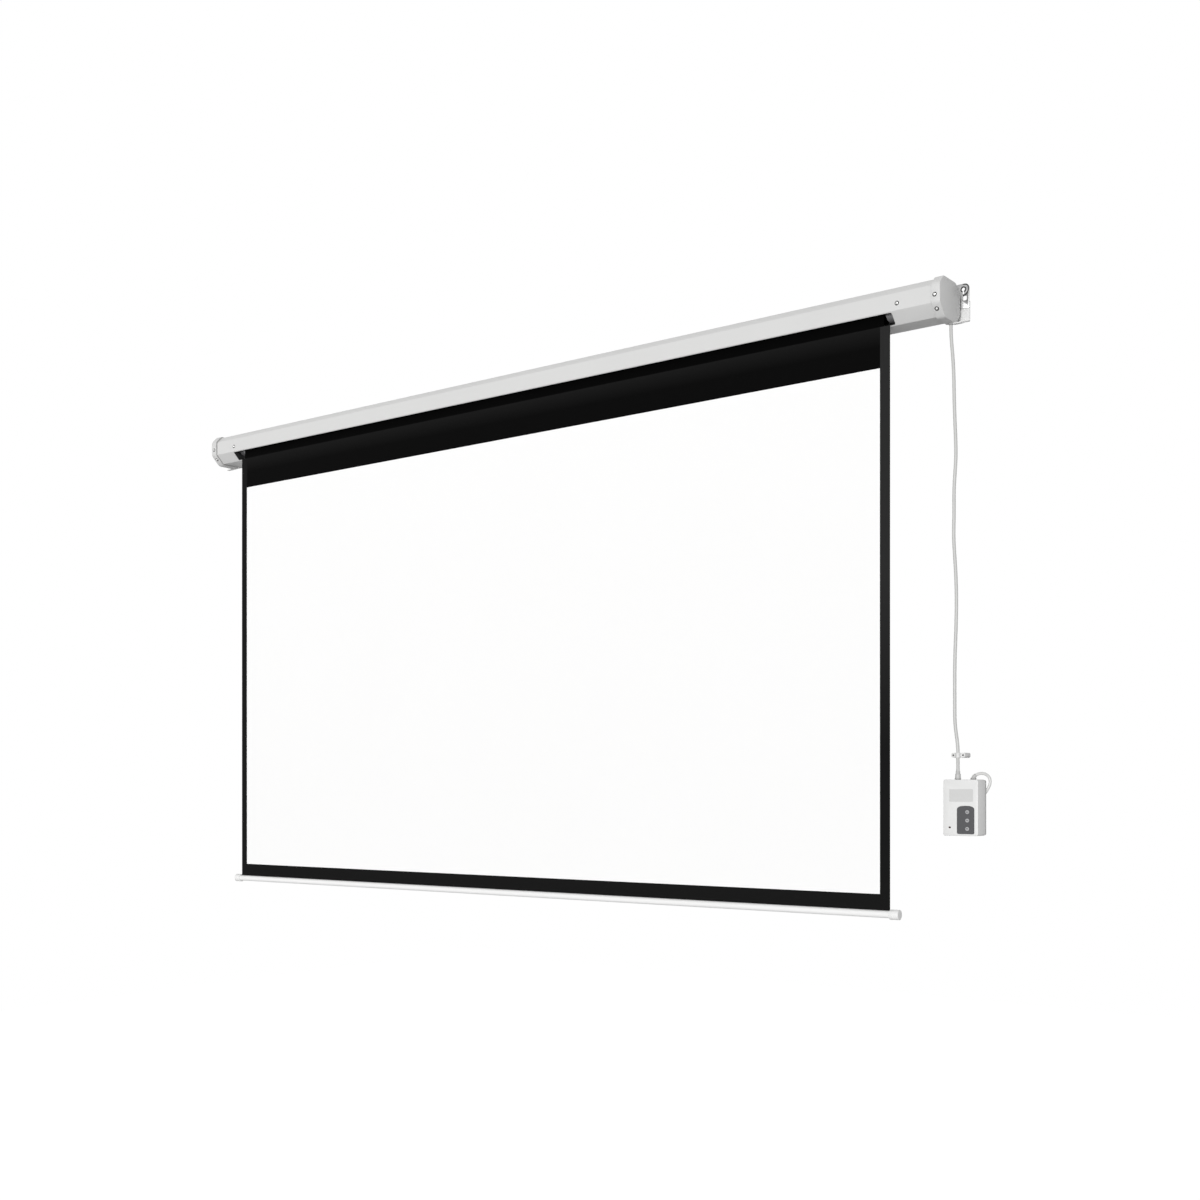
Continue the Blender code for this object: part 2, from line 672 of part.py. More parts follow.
def build_case():
    """The steel case with its slot, its end caps and their screws."""
    bm = hollow_prism(
        case_outline(0, CASE_CORNER),
        case_outline(-CASE_WALL, CASE_CORNER - CASE_WALL),
        -CASE_END,
        CASE_END,
    )
    shell = make_object("case_shell", bm, "case_paint")
    slot_top, slot_low = CASE_BOTTOM + SLOT_CHAMFER - SLOT_LIP, CASE_BOTTOM + SLOT_LIP
    through = 2.5 * CASE_WALL
    slot_outline = [
        (CASE_FRONT + SLOT_LIP - through, slot_top),
        (CASE_FRONT + SLOT_CHAMFER - SLOT_LIP - through, slot_low),
        (CASE_FRONT + SLOT_CHAMFER - SLOT_LIP + through, slot_low),
        (CASE_FRONT + SLOT_LIP + through, slot_top),
    ]
    slot = prism(slot_outline, -FABRIC_HALF - SLOT_LEFT_ROOM, FABRIC_HALF + SLOT_RIGHT_ROOM)
    combine(shell, helper("slot_cutter", slot))
    outlet_bm = turned(
        rod_profile(CASE_BOTTOM - 0.010, CASE_BOTTOM + 0.004, CORD_OUTLET_RADIUS), OUTLET, "Z", 20
    )
    outlet = helper("outlet_cutter", outlet_bm)
    combine(shell, outlet)
    for side, sign in (("left", -1), ("right", 1)):
        cap = build_end_cap(side, sign)
        if side == "right":
            combine(cap, outlet)
        for screw_name, seat, outwards in cap_screw_places(side, sign):
            _, hole = screw(screw_name, seat, outwards)
            combine(cap, hole)
            combine(shell, hole)
    grommet = [
        (GROMMET_BOTTOM, 0),
        (GROMMET_BOTTOM, CORD_OUTLET_RADIUS - 0.0004),
        (CASE_BOTTOM - CAP_PROUD - GAP - 0.0008, CORD_OUTLET_RADIUS + 0.0012),
        (CASE_BOTTOM - CAP_PROUD - GAP, CORD_OUTLET_RADIUS + 0.0012),
        (CASE_BOTTOM - CAP_PROUD - GAP, CORD_OUTLET_RADIUS - GAP),
        (CASE_BOTTOM + CASE_WALL - 2 * GAP, CORD_OUTLET_RADIUS - GAP),
        (CASE_BOTTOM + CASE_WALL - 2 * GAP, 0),
    ]
    make_object("cord_grommet", turned(grommet, OUTLET, "Z", 20), "dark_plastic")
    return shell


def cap_screw_places(side, sign):
    """The seats and directions of the screws in an end cap: one in front, one on the slant."""
    x = sign * (HALF_LENGTH - CAP_SCREW_INSET)
    front = (x, CASE_FRONT - CAP_PROUD, 0.0)
    slant = offset_outline(case_corners(), CAP_PROUD)
    (y0, z0), (y1, z1) = slant[0], slant[1]
    down = LOWER_SCREW_DOWN
    low = (x, y0 + (y1 - y0) * down, z0 + (z1 - z0) * down)
    return [
        (f"cap_screw_{side}_upper", front, (0, -1, 0)),
        (f"cap_screw_{side}_lower", low, (0, -1, -1)),
    ]


def build_end_cap(side, sign):
    """A moulded cap: a skirt round the case's end, an end plate and a boss for the hanging eye."""
    rings = []
    plate_inner = HALF_LENGTH - CAP_PLATE
    for x, grow, radius in (
        (plate_inner, GAP, CASE_CORNER + GAP),
        (CAP_START, GAP, CASE_CORNER + GAP),
        (CAP_START, CAP_PROUD - 0.0006, CAP_CORNER),
        (CAP_START + 0.0006, CAP_PROUD, CAP_CORNER),
        (HALF_LENGTH - CAP_ROUNDING, CAP_PROUD, CAP_CORNER),
        (HALF_LENGTH - CAP_ROUNDING * 0.3, CAP_PROUD - CAP_ROUNDING * 0.3, CAP_CORNER),
        (HALF_LENGTH, CAP_PROUD - CAP_ROUNDING, CAP_CORNER),
    ):
        rings.append([(sign * x, y, z) for y, z in case_outline(grow, radius)])
    cap = make_object(f"end_cap_{side}", loft(rings), "cap_plastic")
    boss_back = -BRACKET_THICKNESS - GAP - EYE_THICKNESS - GAP
    profile = rod_profile(CASE_BACK + GAP + CAP_WALL / 2, boss_back, BOSS_RADIUS)
    boss = helper(f"boss_{side}", turned(profile, (sign * BOSS_X, BOSS_Z), "Y", 20))
    combine(cap, boss, "UNION")
    return cap


def build_carriers(shell):
    """The plates inside the case that hold the roller's two ends, each with a screwed tab."""
    seat_y = CASE_FRONT + CASE_WALL + GAP
    carriers = {}
    for side, sign in (("left", -1), ("right", 1)):
        outline = case_outline(-CASE_WALL - GAP, CASE_CORNER - CASE_WALL)
        low, high = sorted((sign * CARRIER_X, sign * (CARRIER_X + CARRIER_PLATE)))
        carrier = make_object(f"roller_carrier_{side}", prism(outline, low, high), "steel")
        low, high = sorted((sign * (CARRIER_X - TAB_LENGTH), sign * (CARRIER_X + 0.001)))
        tab = box((low, seat_y, -TAB_HALF_HEIGHT), (high, seat_y + CARRIER_PLATE, TAB_HALF_HEIGHT))
        combine(carrier, helper(f"tab_{side}", tab), "UNION")
        radius = (IDLER_PIN_RADIUS if side == "left" else SPIGOT_RADIUS) + GAP
        low, high = sorted((sign * (CARRIER_X - 0.002), sign * (CARRIER_X + CARRIER_PLATE + 0.002)))
        bore = turned(rod_profile(low, high, radius), (ROLLER_Y, 0), "X", 32)
        combine(carrier, helper(f"carrier_bore_{side}", bore))
        seat = (sign * (CARRIER_X - TAB_LENGTH / 2), CASE_FRONT, 0.0)
        _, hole = screw(f"case_screw_{side}", seat, (0, -1, 0))
        combine(carrier, hole)
        combine(shell, hole)
        carriers[side] = carrier
    return carriers


def build_brackets():
    """The white wall brackets with their tongues, and the zinc hanging eyes bolted over them."""
    lip_top = CASE_BOTTOM - CAP_PROUD - GAP
    back_y, tip_y = -BRACKET_THICKNESS, -TONGUE_REACH
    lip_y = tip_y + TONGUE_LIP
    tongue = [
        (back_y, BRACKET_FOOT),
        (lip_y, lip_top),
        (tip_y, lip_top),
        (tip_y, lip_top - BRACKET_THICKNESS),
        (lip_y, lip_top - BRACKET_THICKNESS),
        (back_y / 2, BRACKET_FOOT - BRACKET_THICKNESS / 2),
        (back_y / 2, BRACKET_FOOT),
    ]
    for side, sign in (("left", -1), ("right", 1)):
        low, high = sorted((sign * BRACKET_INNER_X, sign * BRACKET_OUTER_X))
        plate = box((low, back_y, BRACKET_FOOT - BRACKET_THICKNESS), (high, 0, BRACKET_TOP))
        bracket = make_object(f"wall_bracket_{side}", plate, "case_paint")
        low, high = sorted((sign * TONGUE_INNER_X, sign * (BRACKET_OUTER_X - GAP / 3)))
        combine(bracket, helper(f"tongue_{side}", prism(tongue, low, high)), "UNION")
        holes = bmesh.new()
        for z in WALL_SCREW_Z:
            profile_y = rod_profile(-BRACKET_THICKNESS - 0.002, 0.002, WALL_SCREW_RADIUS)
            turned(profile_y, (sign * WALL_SCREW_X, z), "Y", 16, holes)
        combine(bracket, helper(f"wall_screw_holes_{side}", holes))
        build_eye(side, sign)


def build_eye(side, sign):
    """A hanging eye: a plate with a keyhole at its top and a small window under it."""
    front = -BRACKET_THICKNESS - GAP - EYE_THICKNESS
    back = -BRACKET_THICKNESS - GAP
    foot = BRACKET_TOP - EYE_OVERLAP
    left, right = BRACKET_INNER_X, BRACKET_OUTER_X
    corners = rectangle(left, right, foot, EYE_TOP)
    outline = [corners[0], corners[1], *rounded(corners, EYE_CORNER, 5)[12:]]
    outline = [(sign * x, z) for x, z in outline]
    eye = make_object(f"hanging_eye_{side}", prism(outline, front, back, "Y"), "zinc")
    low, high = front - 0.002, back + 0.002
    holes = bmesh.new()
    profile = rod_profile(low, high, EYE_HOLE_RADIUS)
    turned(profile, (sign * EYE_HOLE_X, EYE_HOLE_Z), "Y", 20, holes)
    cutter = helper(f"eye_hole_{side}", holes)
    combine(eye, cutter)
    slot = rectangle(
        EYE_HOLE_X - EYE_SLOT_WIDTH / 2,
        EYE_HOLE_X + EYE_SLOT_WIDTH / 2,
        EYE_HOLE_Z - EYE_SLOT_LENGTH,
        EYE_HOLE_Z,
    )
    slot = [(sign * x, z) for x, z in slot]
    combine(eye, helper(f"eye_slot_{side}", prism(slot, low, high, "Y")))
    window = [(sign * x, z) for x, z in rounded(rectangle(*EYE_WINDOW), 0.0025, 3)]
    combine(eye, helper(f"eye_window_{side}", prism(window, low, high, "Y")))


def build_roller():
    """The roller tube, the fabric wound on it and the idler end, and the pin that carries it."""
    axis = (ROLLER_Y, 0)
    end, radius, bore = ROLLER_HALF, ROLLER_RADIUS, ROLLER_BORE
    pieces = [
        make_object(
            "roller_tube", turned(tube_profile(-end, end, radius, bore), axis), "aluminium", axis_origin()
        )
    ]
    turns = np.linspace(0, WRAP_TURNS, WRAP_TURNS * WRAP_POINTS + 1)
    radii = WRAP_END - WRAP_PITCH * turns
    path = np.column_stack(
        [ROLLER_Y - radii * np.cos(2 * math.pi * turns), radii * np.sin(2 * math.pi * turns)]
    )
    wrap_half = FABRIC_HALF - WRAP_TRIM
    wraps = prism(ribbon(path, BACKING_THICKNESS), -wrap_half, wrap_half)
    pieces.append(make_object("fabric_roll", wraps, "black_fabric", axis_origin()))
    flange_in, flange_out = -end - GAP, -end - IDLER_FLANGE
    plug_end = -end + IDLER_PLUG_LENGTH
    bearing_bore = BEARING_RADIUS + GAP
    pin_room = IDLER_PIN_RADIUS + FREE_GAP
    bearing_room = IDLER_PIN_RADIUS + RUNNING_GAP
    plug = [
        (flange_out, radius - 0.001),
        (flange_out + 0.001, radius),
        (flange_in, radius),
        (flange_in, bore - GAP),
        (plug_end, bore - GAP),
        (plug_end, pin_room),
        (flange_out + BEARING_WIDTH + GAP, pin_room),
        (flange_out + BEARING_WIDTH + GAP, bearing_bore),
        (flange_out, bearing_bore),
    ]
    idler = make_object("idler_plug", turned(plug, axis), "dark_plastic", axis_origin())
    groove_bm = bmesh.new()
    for i in range(3):
        low = flange_out + 0.003 + 0.0042 * i
        turned(tube_profile(low, low + 0.0018, radius + 0.002, radius - 0.0015), axis, bm=groove_bm)
    combine(idler, helper("idler_grooves", groove_bm))
    pieces.append(idler)
    ring = [
        (flange_out, BEARING_RADIUS),
        (flange_out + BEARING_WIDTH, BEARING_RADIUS),
        (flange_out + BEARING_WIDTH, bearing_room),
        (flange_out, bearing_room),
    ]
    pieces.append(make_object("idler_bearing", turned(ring, axis), "steel", axis_origin()))
    outer_face = -CARRIER_X - CARRIER_PLATE - GAP
    pin = [
        (outer_face - 0.003, 0),
        (outer_face - 0.003, IDLER_PIN_RADIUS + 0.003),
        (outer_face, IDLER_PIN_RADIUS + 0.003),
        (outer_face, IDLER_PIN_RADIUS),
        (plug_end + 0.004, IDLER_PIN_RADIUS),
        (plug_end + 0.004, 0),
    ]
    make_object("idler_pin", turned(pin, axis), "steel")
    return pieces


def axis_origin():
    """A point on the roller's axis, where the pieces that turn have their origins."""
    return (0, ROLLER_Y, 0)


def build_motor():
    """The tube motor: its head, tube, switch unit, capacitor, stator, rotor, gearbox and drive."""
    axis = (ROLLER_Y, 0)
    inner = MOTOR_RADIUS - MOTOR_WALL
    core = inner - GAP
    tube_end = HEAD_START - GAP
    tube_start = tube_end - MOTOR_LENGTH
    tube = tube_profile(tube_start, tube_end, MOTOR_RADIUS, inner)
    make_object("motor_tube", turned(tube, axis), "zinc")
    switch_start = tube_end - SWITCH_UNIT_LENGTH
    head_end = CARRIER_X - GAP
    spigot_end = CARRIER_X + SPIGOT_LENGTH
    head = [
        (switch_start, 0),
        (switch_start, core),
        (HEAD_START, core),
        (HEAD_START, HEAD_RADIUS),
        (head_end, HEAD_RADIUS),
        (head_end, SPIGOT_RADIUS),
        (spigot_end, SPIGOT_RADIUS),
        (spigot_end, 0),
    ]
    motor_head = make_object("motor_head", turned(head, axis), "dark_plastic")
    screws = build_limit_screws(motor_head, spigot_end)
    capacitor_end = switch_start - 0.002
    capacitor_start = capacitor_end - CAPACITOR_LENGTH
    seat = core - CAPACITOR_RADIUS
    capacitor = [
        (capacitor_start, 0),
        (capacitor_start, CAPACITOR_RADIUS - 0.001),
        (capacitor_start + 0.001, CAPACITOR_RADIUS),
        (capacitor_end - 0.006, CAPACITOR_RADIUS),
        (capacitor_end - 0.006, CAPACITOR_RADIUS + seat),
        (capacitor_end, CAPACITOR_RADIUS + seat),
        (capacitor_end, 0),
    ]
    make_object("run_capacitor", turned(capacitor, axis), "aluminium")
    stator_end = capacitor_start - 0.003
    stator_start = stator_end - STATOR_LENGTH
    shaft_room = ROTOR_SHAFT_RADIUS + RUNNING_GAP
    rotor_room = ROTOR_RADIUS + FREE_GAP
    stator = [
        (stator_start, core),
        (stator_end, core),
        (stator_end, shaft_room),
        (stator_end - 0.008, shaft_room),
        (stator_end - 0.008, rotor_room),
        (stator_start, rotor_room),
    ]
    make_object("stator", turned(stator, axis), "copper_core")
    gearbox_end = stator_start - 0.004
    gearbox_start = tube_start + GEARBOX_INSET
    shaft_start = gearbox_end - ROTOR_SHAFT_OVERHANG
    rotor_core = (stator_start + 0.004, stator_end - 0.012)
    rotor = [
        (shaft_start, 0),
        (shaft_start, ROTOR_SHAFT_RADIUS),
        (rotor_core[0], ROTOR_SHAFT_RADIUS),
        (rotor_core[0], ROTOR_RADIUS),
        (rotor_core[1], ROTOR_RADIUS),
        (rotor_core[1], ROTOR_SHAFT_RADIUS),
        (stator_end - 0.001, ROTOR_SHAFT_RADIUS),
        (stator_end - 0.001, 0),
    ]
    rotor = make_object("rotor", turned(rotor, axis, sides=24), "steel", axis_origin())
    seat_end = gearbox_start + OUTPUT_SHAFT_SEAT
    output_room = OUTPUT_SHAFT_RADIUS + RUNNING_GAP
    gearbox = [
        (gearbox_start, core),
        (gearbox_end, core),
        (gearbox_end, shaft_room),
        (shaft_start - 0.001, shaft_room),
        (shaft_start - 0.001, 0),
        (seat_end + 0.001, 0),
        (seat_end + 0.001, output_room),
        (gearbox_start, output_room),
    ]
    make_object("gearbox_housing", turned(gearbox, axis), "zinc")
    shaft_end = seat_end
    shaft_low = shaft_end - OUTPUT_SHAFT_LENGTH
    shaft = rod_profile(shaft_low, shaft_end, OUTPUT_SHAFT_RADIUS)
    output = make_object("output_shaft", turned(shaft, axis, sides=24), "steel", axis_origin())
    wheel = tube_profile(
        shaft_low, shaft_low + DRIVE_WHEEL_LENGTH, ROLLER_BORE - GAP, OUTPUT_SHAFT_RADIUS + GAP
    )
    wheel = make_object("drive_wheel", turned(wheel, axis), "dark_plastic", axis_origin())
    crown_bore = MOTOR_RADIUS + RUNNING_GAP
    flange_start = ROLLER_HALF + GAP
    crown = [
        (flange_start - CROWN_LENGTH, ROLLER_BORE - GAP),
        (flange_start, ROLLER_BORE - GAP),
        (flange_start, ROLLER_RADIUS),
        (flange_start + CROWN_FLANGE, ROLLER_RADIUS),
        (flange_start + CROWN_FLANGE, crown_bore),
        (flange_start - CROWN_LENGTH, crown_bore),
    ]
    crown = make_object("crown_wheel", turned(crown, axis), "white_plastic", axis_origin())
    return {"turning": [output, wheel, crown], "rotor": rotor, "limit_screws": screws}


def build_limit_screws(motor_head, face):
    """The two socket screws in the motor's head that set where the fabric stops."""
    made = {}
    for name, side in (("limit_screw_up", 1), ("limit_screw_down", -1)):
        centre = (ROLLER_Y, side * LIMIT_SCREW_OFFSET)
        low = face - LIMIT_SCREW_LENGTH
        hole = rod_profile(low - 0.001, face + 0.002, LIMIT_SCREW_RADIUS + RUNNING_GAP)
        combine(motor_head, helper(f"{name}_hole", turned(hole, centre, sides=16)))
        body = rod_profile(low, face - 0.001, LIMIT_SCREW_RADIUS)
        origin = (face, *centre)
        piece = make_object(name, turned(body, centre, sides=16), "steel", origin)
        socket = prism(circle(0.0013, 6, centre), face - 0.0035, face + 0.001)
        combine(piece, helper(f"{name}_socket", socket))
        made[name] = piece
    return made


def build_screen():
    """The hanging fabric: a black backing, the white viewing layer and the hem under it."""
    backing = box(
        (-FABRIC_HALF, FABRIC_Y - BACKING_THICKNESS / 2, FIELD_BOTTOM + GAP),
        (FABRIC_HALF, FABRIC_Y + BACKING_THICKNESS / 2, -GAP),
    )
    make_object("screen_fabric", backing, "black_fabric")
    field_back = FABRIC_Y - BACKING_THICKNESS / 2 - GAP
    field = box(
        (-FIELD_WIDTH / 2, field_back - COATING_THICKNESS, FIELD_BOTTOM + GAP),
        (FIELD_WIDTH / 2, field_back, FIELD_TOP),
    )
    make_object("viewing_field", field, "white_fabric")


def build_bar():
    """The bottom bar: a slotted tube that holds the hem on its spline, and two end caps."""
    origin = (0, FABRIC_Y, BAR_Z)
    loop = SPLINE_RADIUS + GAP + BACKING_THICKNESS / 2
    centre = (FABRIC_Y + loop, BAR_Z + 0.001)
    angles = np.radians(np.linspace(180, 480, 21))
    path = [(FABRIC_Y, FIELD_BOTTOM), (FABRIC_Y, (FIELD_BOTTOM + centre[1]) / 2)]
    path += [(centre[0] + loop * math.cos(a), centre[1] + loop * math.sin(a)) for a in angles]
    hem = prism(ribbon(path, BACKING_THICKNESS), -FABRIC_HALF, FABRIC_HALF)
    pieces = [make_object("fabric_hem", hem, "black_fabric", origin)]
    half = BAR_HALF_LENGTH
    spline_half = FABRIC_HALF + 0.005
    spline = turned(rod_profile(-spline_half, spline_half, SPLINE_RADIUS), centre, sides=12)
    pieces.append(make_object("hem_spline", spline, "white_plastic", origin))
    slot = BACKING_THICKNESS + 2 * GAP
    outline = []
    for radius, order in ((BAR_RADIUS, 1), (BAR_RADIUS - BAR_WALL, -1)):
        edge = math.asin(slot / 2 / radius)
        arc = np.linspace(edge, 2 * math.pi - edge, 29)[::order]
        outline += [
            (FABRIC_Y + radius * math.sin(a), BAR_Z + radius * math.cos(a)) for a in arc
        ]
    pieces.append(make_object("bar_tube", prism(outline, -half, half), "aluminium", origin))
    room = BAR_RADIUS + GAP
    rim = BAR_CAP_RADIUS
    for side, sign in (("left", -1), ("right", 1)):
        profile = [
            (BAR_CAP_START, room),
            (BAR_CAP_START, rim - 0.0005),
            (BAR_CAP_START + 0.0007, rim),
            (half - 0.0012, rim),
            (half - 0.0006, rim - 0.0008),
            (half, rim),
            (BAR_CAP_END - 0.0010, rim),
            (BAR_CAP_END, rim - 0.0010),
            (BAR_CAP_END, 0),
            (half + GAP, 0),
            (half + GAP, room),
        ]
        profile = [(sign * x, radius) for x, radius in profile]
        cap = turned(profile, (FABRIC_Y, BAR_Z), sides=28)
        pieces.append(make_object(f"bar_cap_{side}", cap, "white_plastic", origin))
    return pieces


def box_outline(inset, radius):
    """The control box's rounded outline, as (x, z)."""
    corners = rectangle(
        BOX_LEFT + inset, BOX_RIGHT - inset, BOX_BOTTOM + inset, BOX_TOP - inset
    )
    return rounded(corners, radius, 4)


def keypad_outline(grow):
    """The keypad's outline: square at its foot, with an arched top."""
    right = BOX_RIGHT - KEYPAD_RIGHT_MARGIN
    left = right - KEYPAD_WIDTH
    bottom = BOX_BOTTOM + KEYPAD_BOTTOM_MARGIN
    shoulder = bottom + KEYPAD_HEIGHT - KEYPAD_ARCH
    half, middle = KEYPAD_WIDTH / 2, (left + right) / 2
    lower = rounded(rectangle(left, right, bottom, shoulder), KEYPAD_CORNER, 3)[:8]
    arch = []
    for k in range(13):
        angle = math.pi * k / 12
        across = math.copysign(abs(math.cos(angle)) ** 0.7, math.cos(angle))
        arch.append((middle + half * across, shoulder + KEYPAD_ARCH * math.sin(angle)))
    points = np.array(lower + arch)
    centre = np.array([middle, (bottom + shoulder + KEYPAD_ARCH) / 2])
    scale = 1 + 2 * grow / np.array([KEYPAD_WIDTH, KEYPAD_HEIGHT])
    return [tuple(p) for p in centre + (points - centre) * scale]


def button_places():
    """The centres of the three keys, from the lowest up."""
    x = BOX_RIGHT - KEYPAD_RIGHT_MARGIN - KEYPAD_WIDTH / 2 + BUTTON_SHIFT
    return {
        name: (x, BOX_BOTTOM + BUTTON_LOWEST_UP + BUTTON_PITCH * k)
        for k, name in enumerate(("down_button", "stop_button", "up_button"))
    }


def build_box():
    """The control box: its cover, back, keypad, keys, circuit board and what is on it."""
    rings = []
    for y, inset, radius in (
        (BOX_FRONT_Y + BOX_WALL, BOX_WALL, BOX_CORNER - BOX_WALL),
        (COVER_BACK_Y - GAP, BOX_WALL, BOX_CORNER - BOX_WALL),
        (COVER_BACK_Y - GAP, 0, BOX_CORNER),
        (BOX_FRONT_Y + BOX_ROUNDING, 0, BOX_CORNER),
        (BOX_FRONT_Y + BOX_ROUNDING * 0.3, BOX_ROUNDING * 0.3, BOX_CORNER),
        (BOX_FRONT_Y, BOX_ROUNDING, BOX_CORNER),
    ):
        rings.append([(x, y, z) for x, z in box_outline(inset, radius)])
    cover = make_object("box_cover", loft(rings), "white_plastic")
    label = rectangle(
        BOX_MID_X + LABEL_SHIFT - LABEL_WIDTH / 2,
        BOX_MID_X + LABEL_SHIFT + LABEL_WIDTH / 2,
        BOX_TOP - LABEL_TOP_DOWN - LABEL_HEIGHT,
        BOX_TOP - LABEL_TOP_DOWN,
    )
    recess = prism(rounded(label, 0.002, 3), BOX_FRONT_Y - 0.001, BOX_FRONT_Y + LABEL_DEPTH, "Y")
    combine(cover, helper("label_recess", recess))
    seat = prism(keypad_outline(GAP), BOX_FRONT_Y - 0.001, BOX_FRONT_Y + KEYPAD_RECESS, "Y")
    combine(cover, helper("keypad_recess", seat))
    pad_back = BOX_FRONT_Y + KEYPAD_RECESS - GAP
    pad_front = pad_back - KEYPAD_THICKNESS
    pad = make_object("keypad_panel", prism(keypad_outline(0), pad_front, pad_back, "Y"), "keypad_grey")
    board_low = (BOX_LEFT + BOARD_MARGIN, BOARD_FRONT_Y, BOX_BOTTOM + BOARD_MARGIN)
    board_high = (BOX_RIGHT - BOARD_MARGIN, BOARD_BACK_Y, BOX_TOP - BOARD_MARGIN)
    board = make_object("circuit_board", box(board_low, board_high), "board_green")
    switches, button_holes, buttons = bmesh.new(), bmesh.new(), {}
    key_back = BOARD_FRONT_Y - SWITCH_HEIGHT - GAP - BUTTON_TRAVEL
    for name, (x, z) in button_places().items():
        hole = rod_profile(pad_front - 0.001, BOX_FRONT_Y + BOX_WALL + 0.001, BUTTON_RADIUS + GAP)
        turned(hole, (x, z), "Y", 20, button_holes)
        half = SWITCH_SIZE / 2
        low = (x - half, BOARD_FRONT_Y - SWITCH_HEIGHT, z - half)
        box(low, (x + half, BOARD_FRONT_Y + BOARD_THICKNESS / 2, z + half), switches)
        front = pad_front - BUTTON_PROUD
        key = [
            (front, 0),
            (front, BUTTON_RADIUS - 0.0006),
            (front + 0.0005, BUTTON_RADIUS),
            (key_back, BUTTON_RADIUS),
            (key_back, 0),
        ]
        origin = (x, front, z)
        buttons[name] = make_object(name, turned(key, (x, z), "Y", 20), "key_grey", origin)
    holes = helper("button_holes", button_holes)
    combine(cover, holes)
    combine(pad, holes)
    combine(board, helper("tact_switches", switches), "UNION")
    led = (BOX_LEFT + LED_ACROSS, BOX_BOTTOM + LED_UP)
    led_hole = rod_profile(BOX_FRONT_Y - 0.001, BOX_FRONT_Y + BOX_WALL + 0.001, LED_RADIUS + GAP)
    combine(cover, helper("led_hole", turned(led_hole, led, "Y", 16)))
    led_body = rod_profile(BOX_FRONT_Y + 0.0002, BOARD_FRONT_Y - GAP, LED_RADIUS)
    make_object("status_led", turned(led_body, led, "Y", 16), "led_red")
    build_box_back()
    build_board_parts()
    return cover, buttons


def build_box_back():
    """The box's back with its board posts, its feet and the peg that stands off the wall."""
    outline = box_outline(BOX_BACK_INSET, BOX_CORNER)
    back = make_object("box_back", prism(outline, COVER_BACK_Y, BOX_BACK_Y, "Y"), "dark_plastic")
    posts = bmesh.new()
    for x in (BOX_LEFT + POST_INSET, BOX_RIGHT - POST_INSET):
        for z in (BOX_BOTTOM + POST_INSET, BOX_TOP - POST_INSET):
            post = rod_profile(BOARD_BACK_Y + GAP, COVER_BACK_Y + 0.001, POST_RADIUS)
            turned(post, (x, z), "Y", 12, posts)
    for x, z in (
        (BOX_RIGHT - FOOT_INWARD, BOX_BOTTOM + FOOT_INSET),
        (BOX_RIGHT - FOOT_INWARD, BOX_TOP - FOOT_INSET),
    ):
        turned(rod_profile(BOX_BACK_Y - 0.001, 0, FOOT_RADIUS), (x, z), "Y", 16, posts)
    peg = (COIL_CENTRE[0], COIL_CENTRE[1] + PEG_ABOVE_COIL)
    turned(rod_profile(BOX_BACK_Y - 0.001, 0, PEG_RADIUS), peg, "Y", 20, posts)
    combine(back, helper("box_back_posts", posts), "UNION")


def build_board_parts():
    """The relays and the transformer on the back of the circuit board."""
    width, depth, height = RELAY_SIZE
    face = BOARD_BACK_Y + GAP
    for name, side in (("relay_up", -1), ("relay_down", 1)):
        left = BOX_MID_X + side * (width + RELAY_SPACING) / 2 - width / 2
        top = BOX_TOP - BOARD_MARGIN - RELAY_DOWN
        body = box((left, face, top - height), (left + width, face + depth, top))
        make_object(name, body, "relay_blue")
    width, depth, height = TRANSFORMER_SIZE
    top = BOX_TOP - BOARD_MARGIN - TRANSFORMER_DOWN
    left = BOX_MID_X - width / 2
    depth = min(depth, COVER_BACK_Y - GAP - face)
    make_object("transformer", box((left, face, top - height), (left + width, face + depth, top)), "zinc")


def build_glands(cover):
    """The two glands in the top of the box, each with its nut outside and its neck inside."""
    for name, x, setback, nut_radius, nut_height in (
        ("motor_gland", GLAND_X, GLAND_SETBACK, GLAND_NUT_RADIUS, GLAND_NUT_HEIGHT),
        ("mains_gland", MAINS_GLAND_X, MAINS_GLAND_SETBACK, MAINS_NUT_RADIUS, MAINS_NUT_HEIGHT),
    ):
        centre = (x, -setback)
        seat = BOX_TOP + GAP
        nut = prism(circle(nut_radius, 6, centre, math.pi / 6), seat, seat + nut_height, "Z")
        gland = make_object(name, nut, "white_plastic")
        neck = turned(
            rod_profile(BOX_TOP - GLAND_SINK, seat + nut_height / 2, GLAND_NECK), centre, "Z", 20
        )
        combine(gland, helper(f"{name}_neck", neck), "UNION")
        hole = turned(
            rod_profile(BOX_TOP - BOX_WALL - 0.001, BOX_TOP + 0.001, GLAND_NECK + GAP), centre, "Z", 20
        )
        combine(cover, helper(f"{name}_hole", hole))
        if name == "motor_gland":
            top = BOX_TOP + GLAND_HEIGHT
            low = seat + nut_height - 0.001
            rings = [(low, 0), (low, nut_radius * 0.86)]
            for k in range(3):
                z = low + 0.003 + 0.0028 * k
                radius = nut_radius * (0.84 - 0.05 * k)
                rings += [(z, radius), (z + 0.0007, radius - 0.0009), (z + 0.0014, radius - 0.0009)]
            rings += [(top - 0.0005, CORD_DIAMETER / 2 + 0.0012)]
            rings += [(top, CORD_DIAMETER / 2 + 0.0007), (top, 0)]
            combine(gland, helper("motor_gland_sleeve", turned(rings, centre, "Z", 20)), "UNION")
        else:
            line, _ = smooth_line(MAINS_ROUTE, 0.0015, 0, MAINS_SLEEVE_LENGTH)
            sleeve = swept(line, (MAINS_NUT_RADIUS * 0.8, MAINS_DIAMETER / 2 + 0.0007), 16)
            combine(gland, helper("mains_gland_sleeve", sleeve), "UNION")


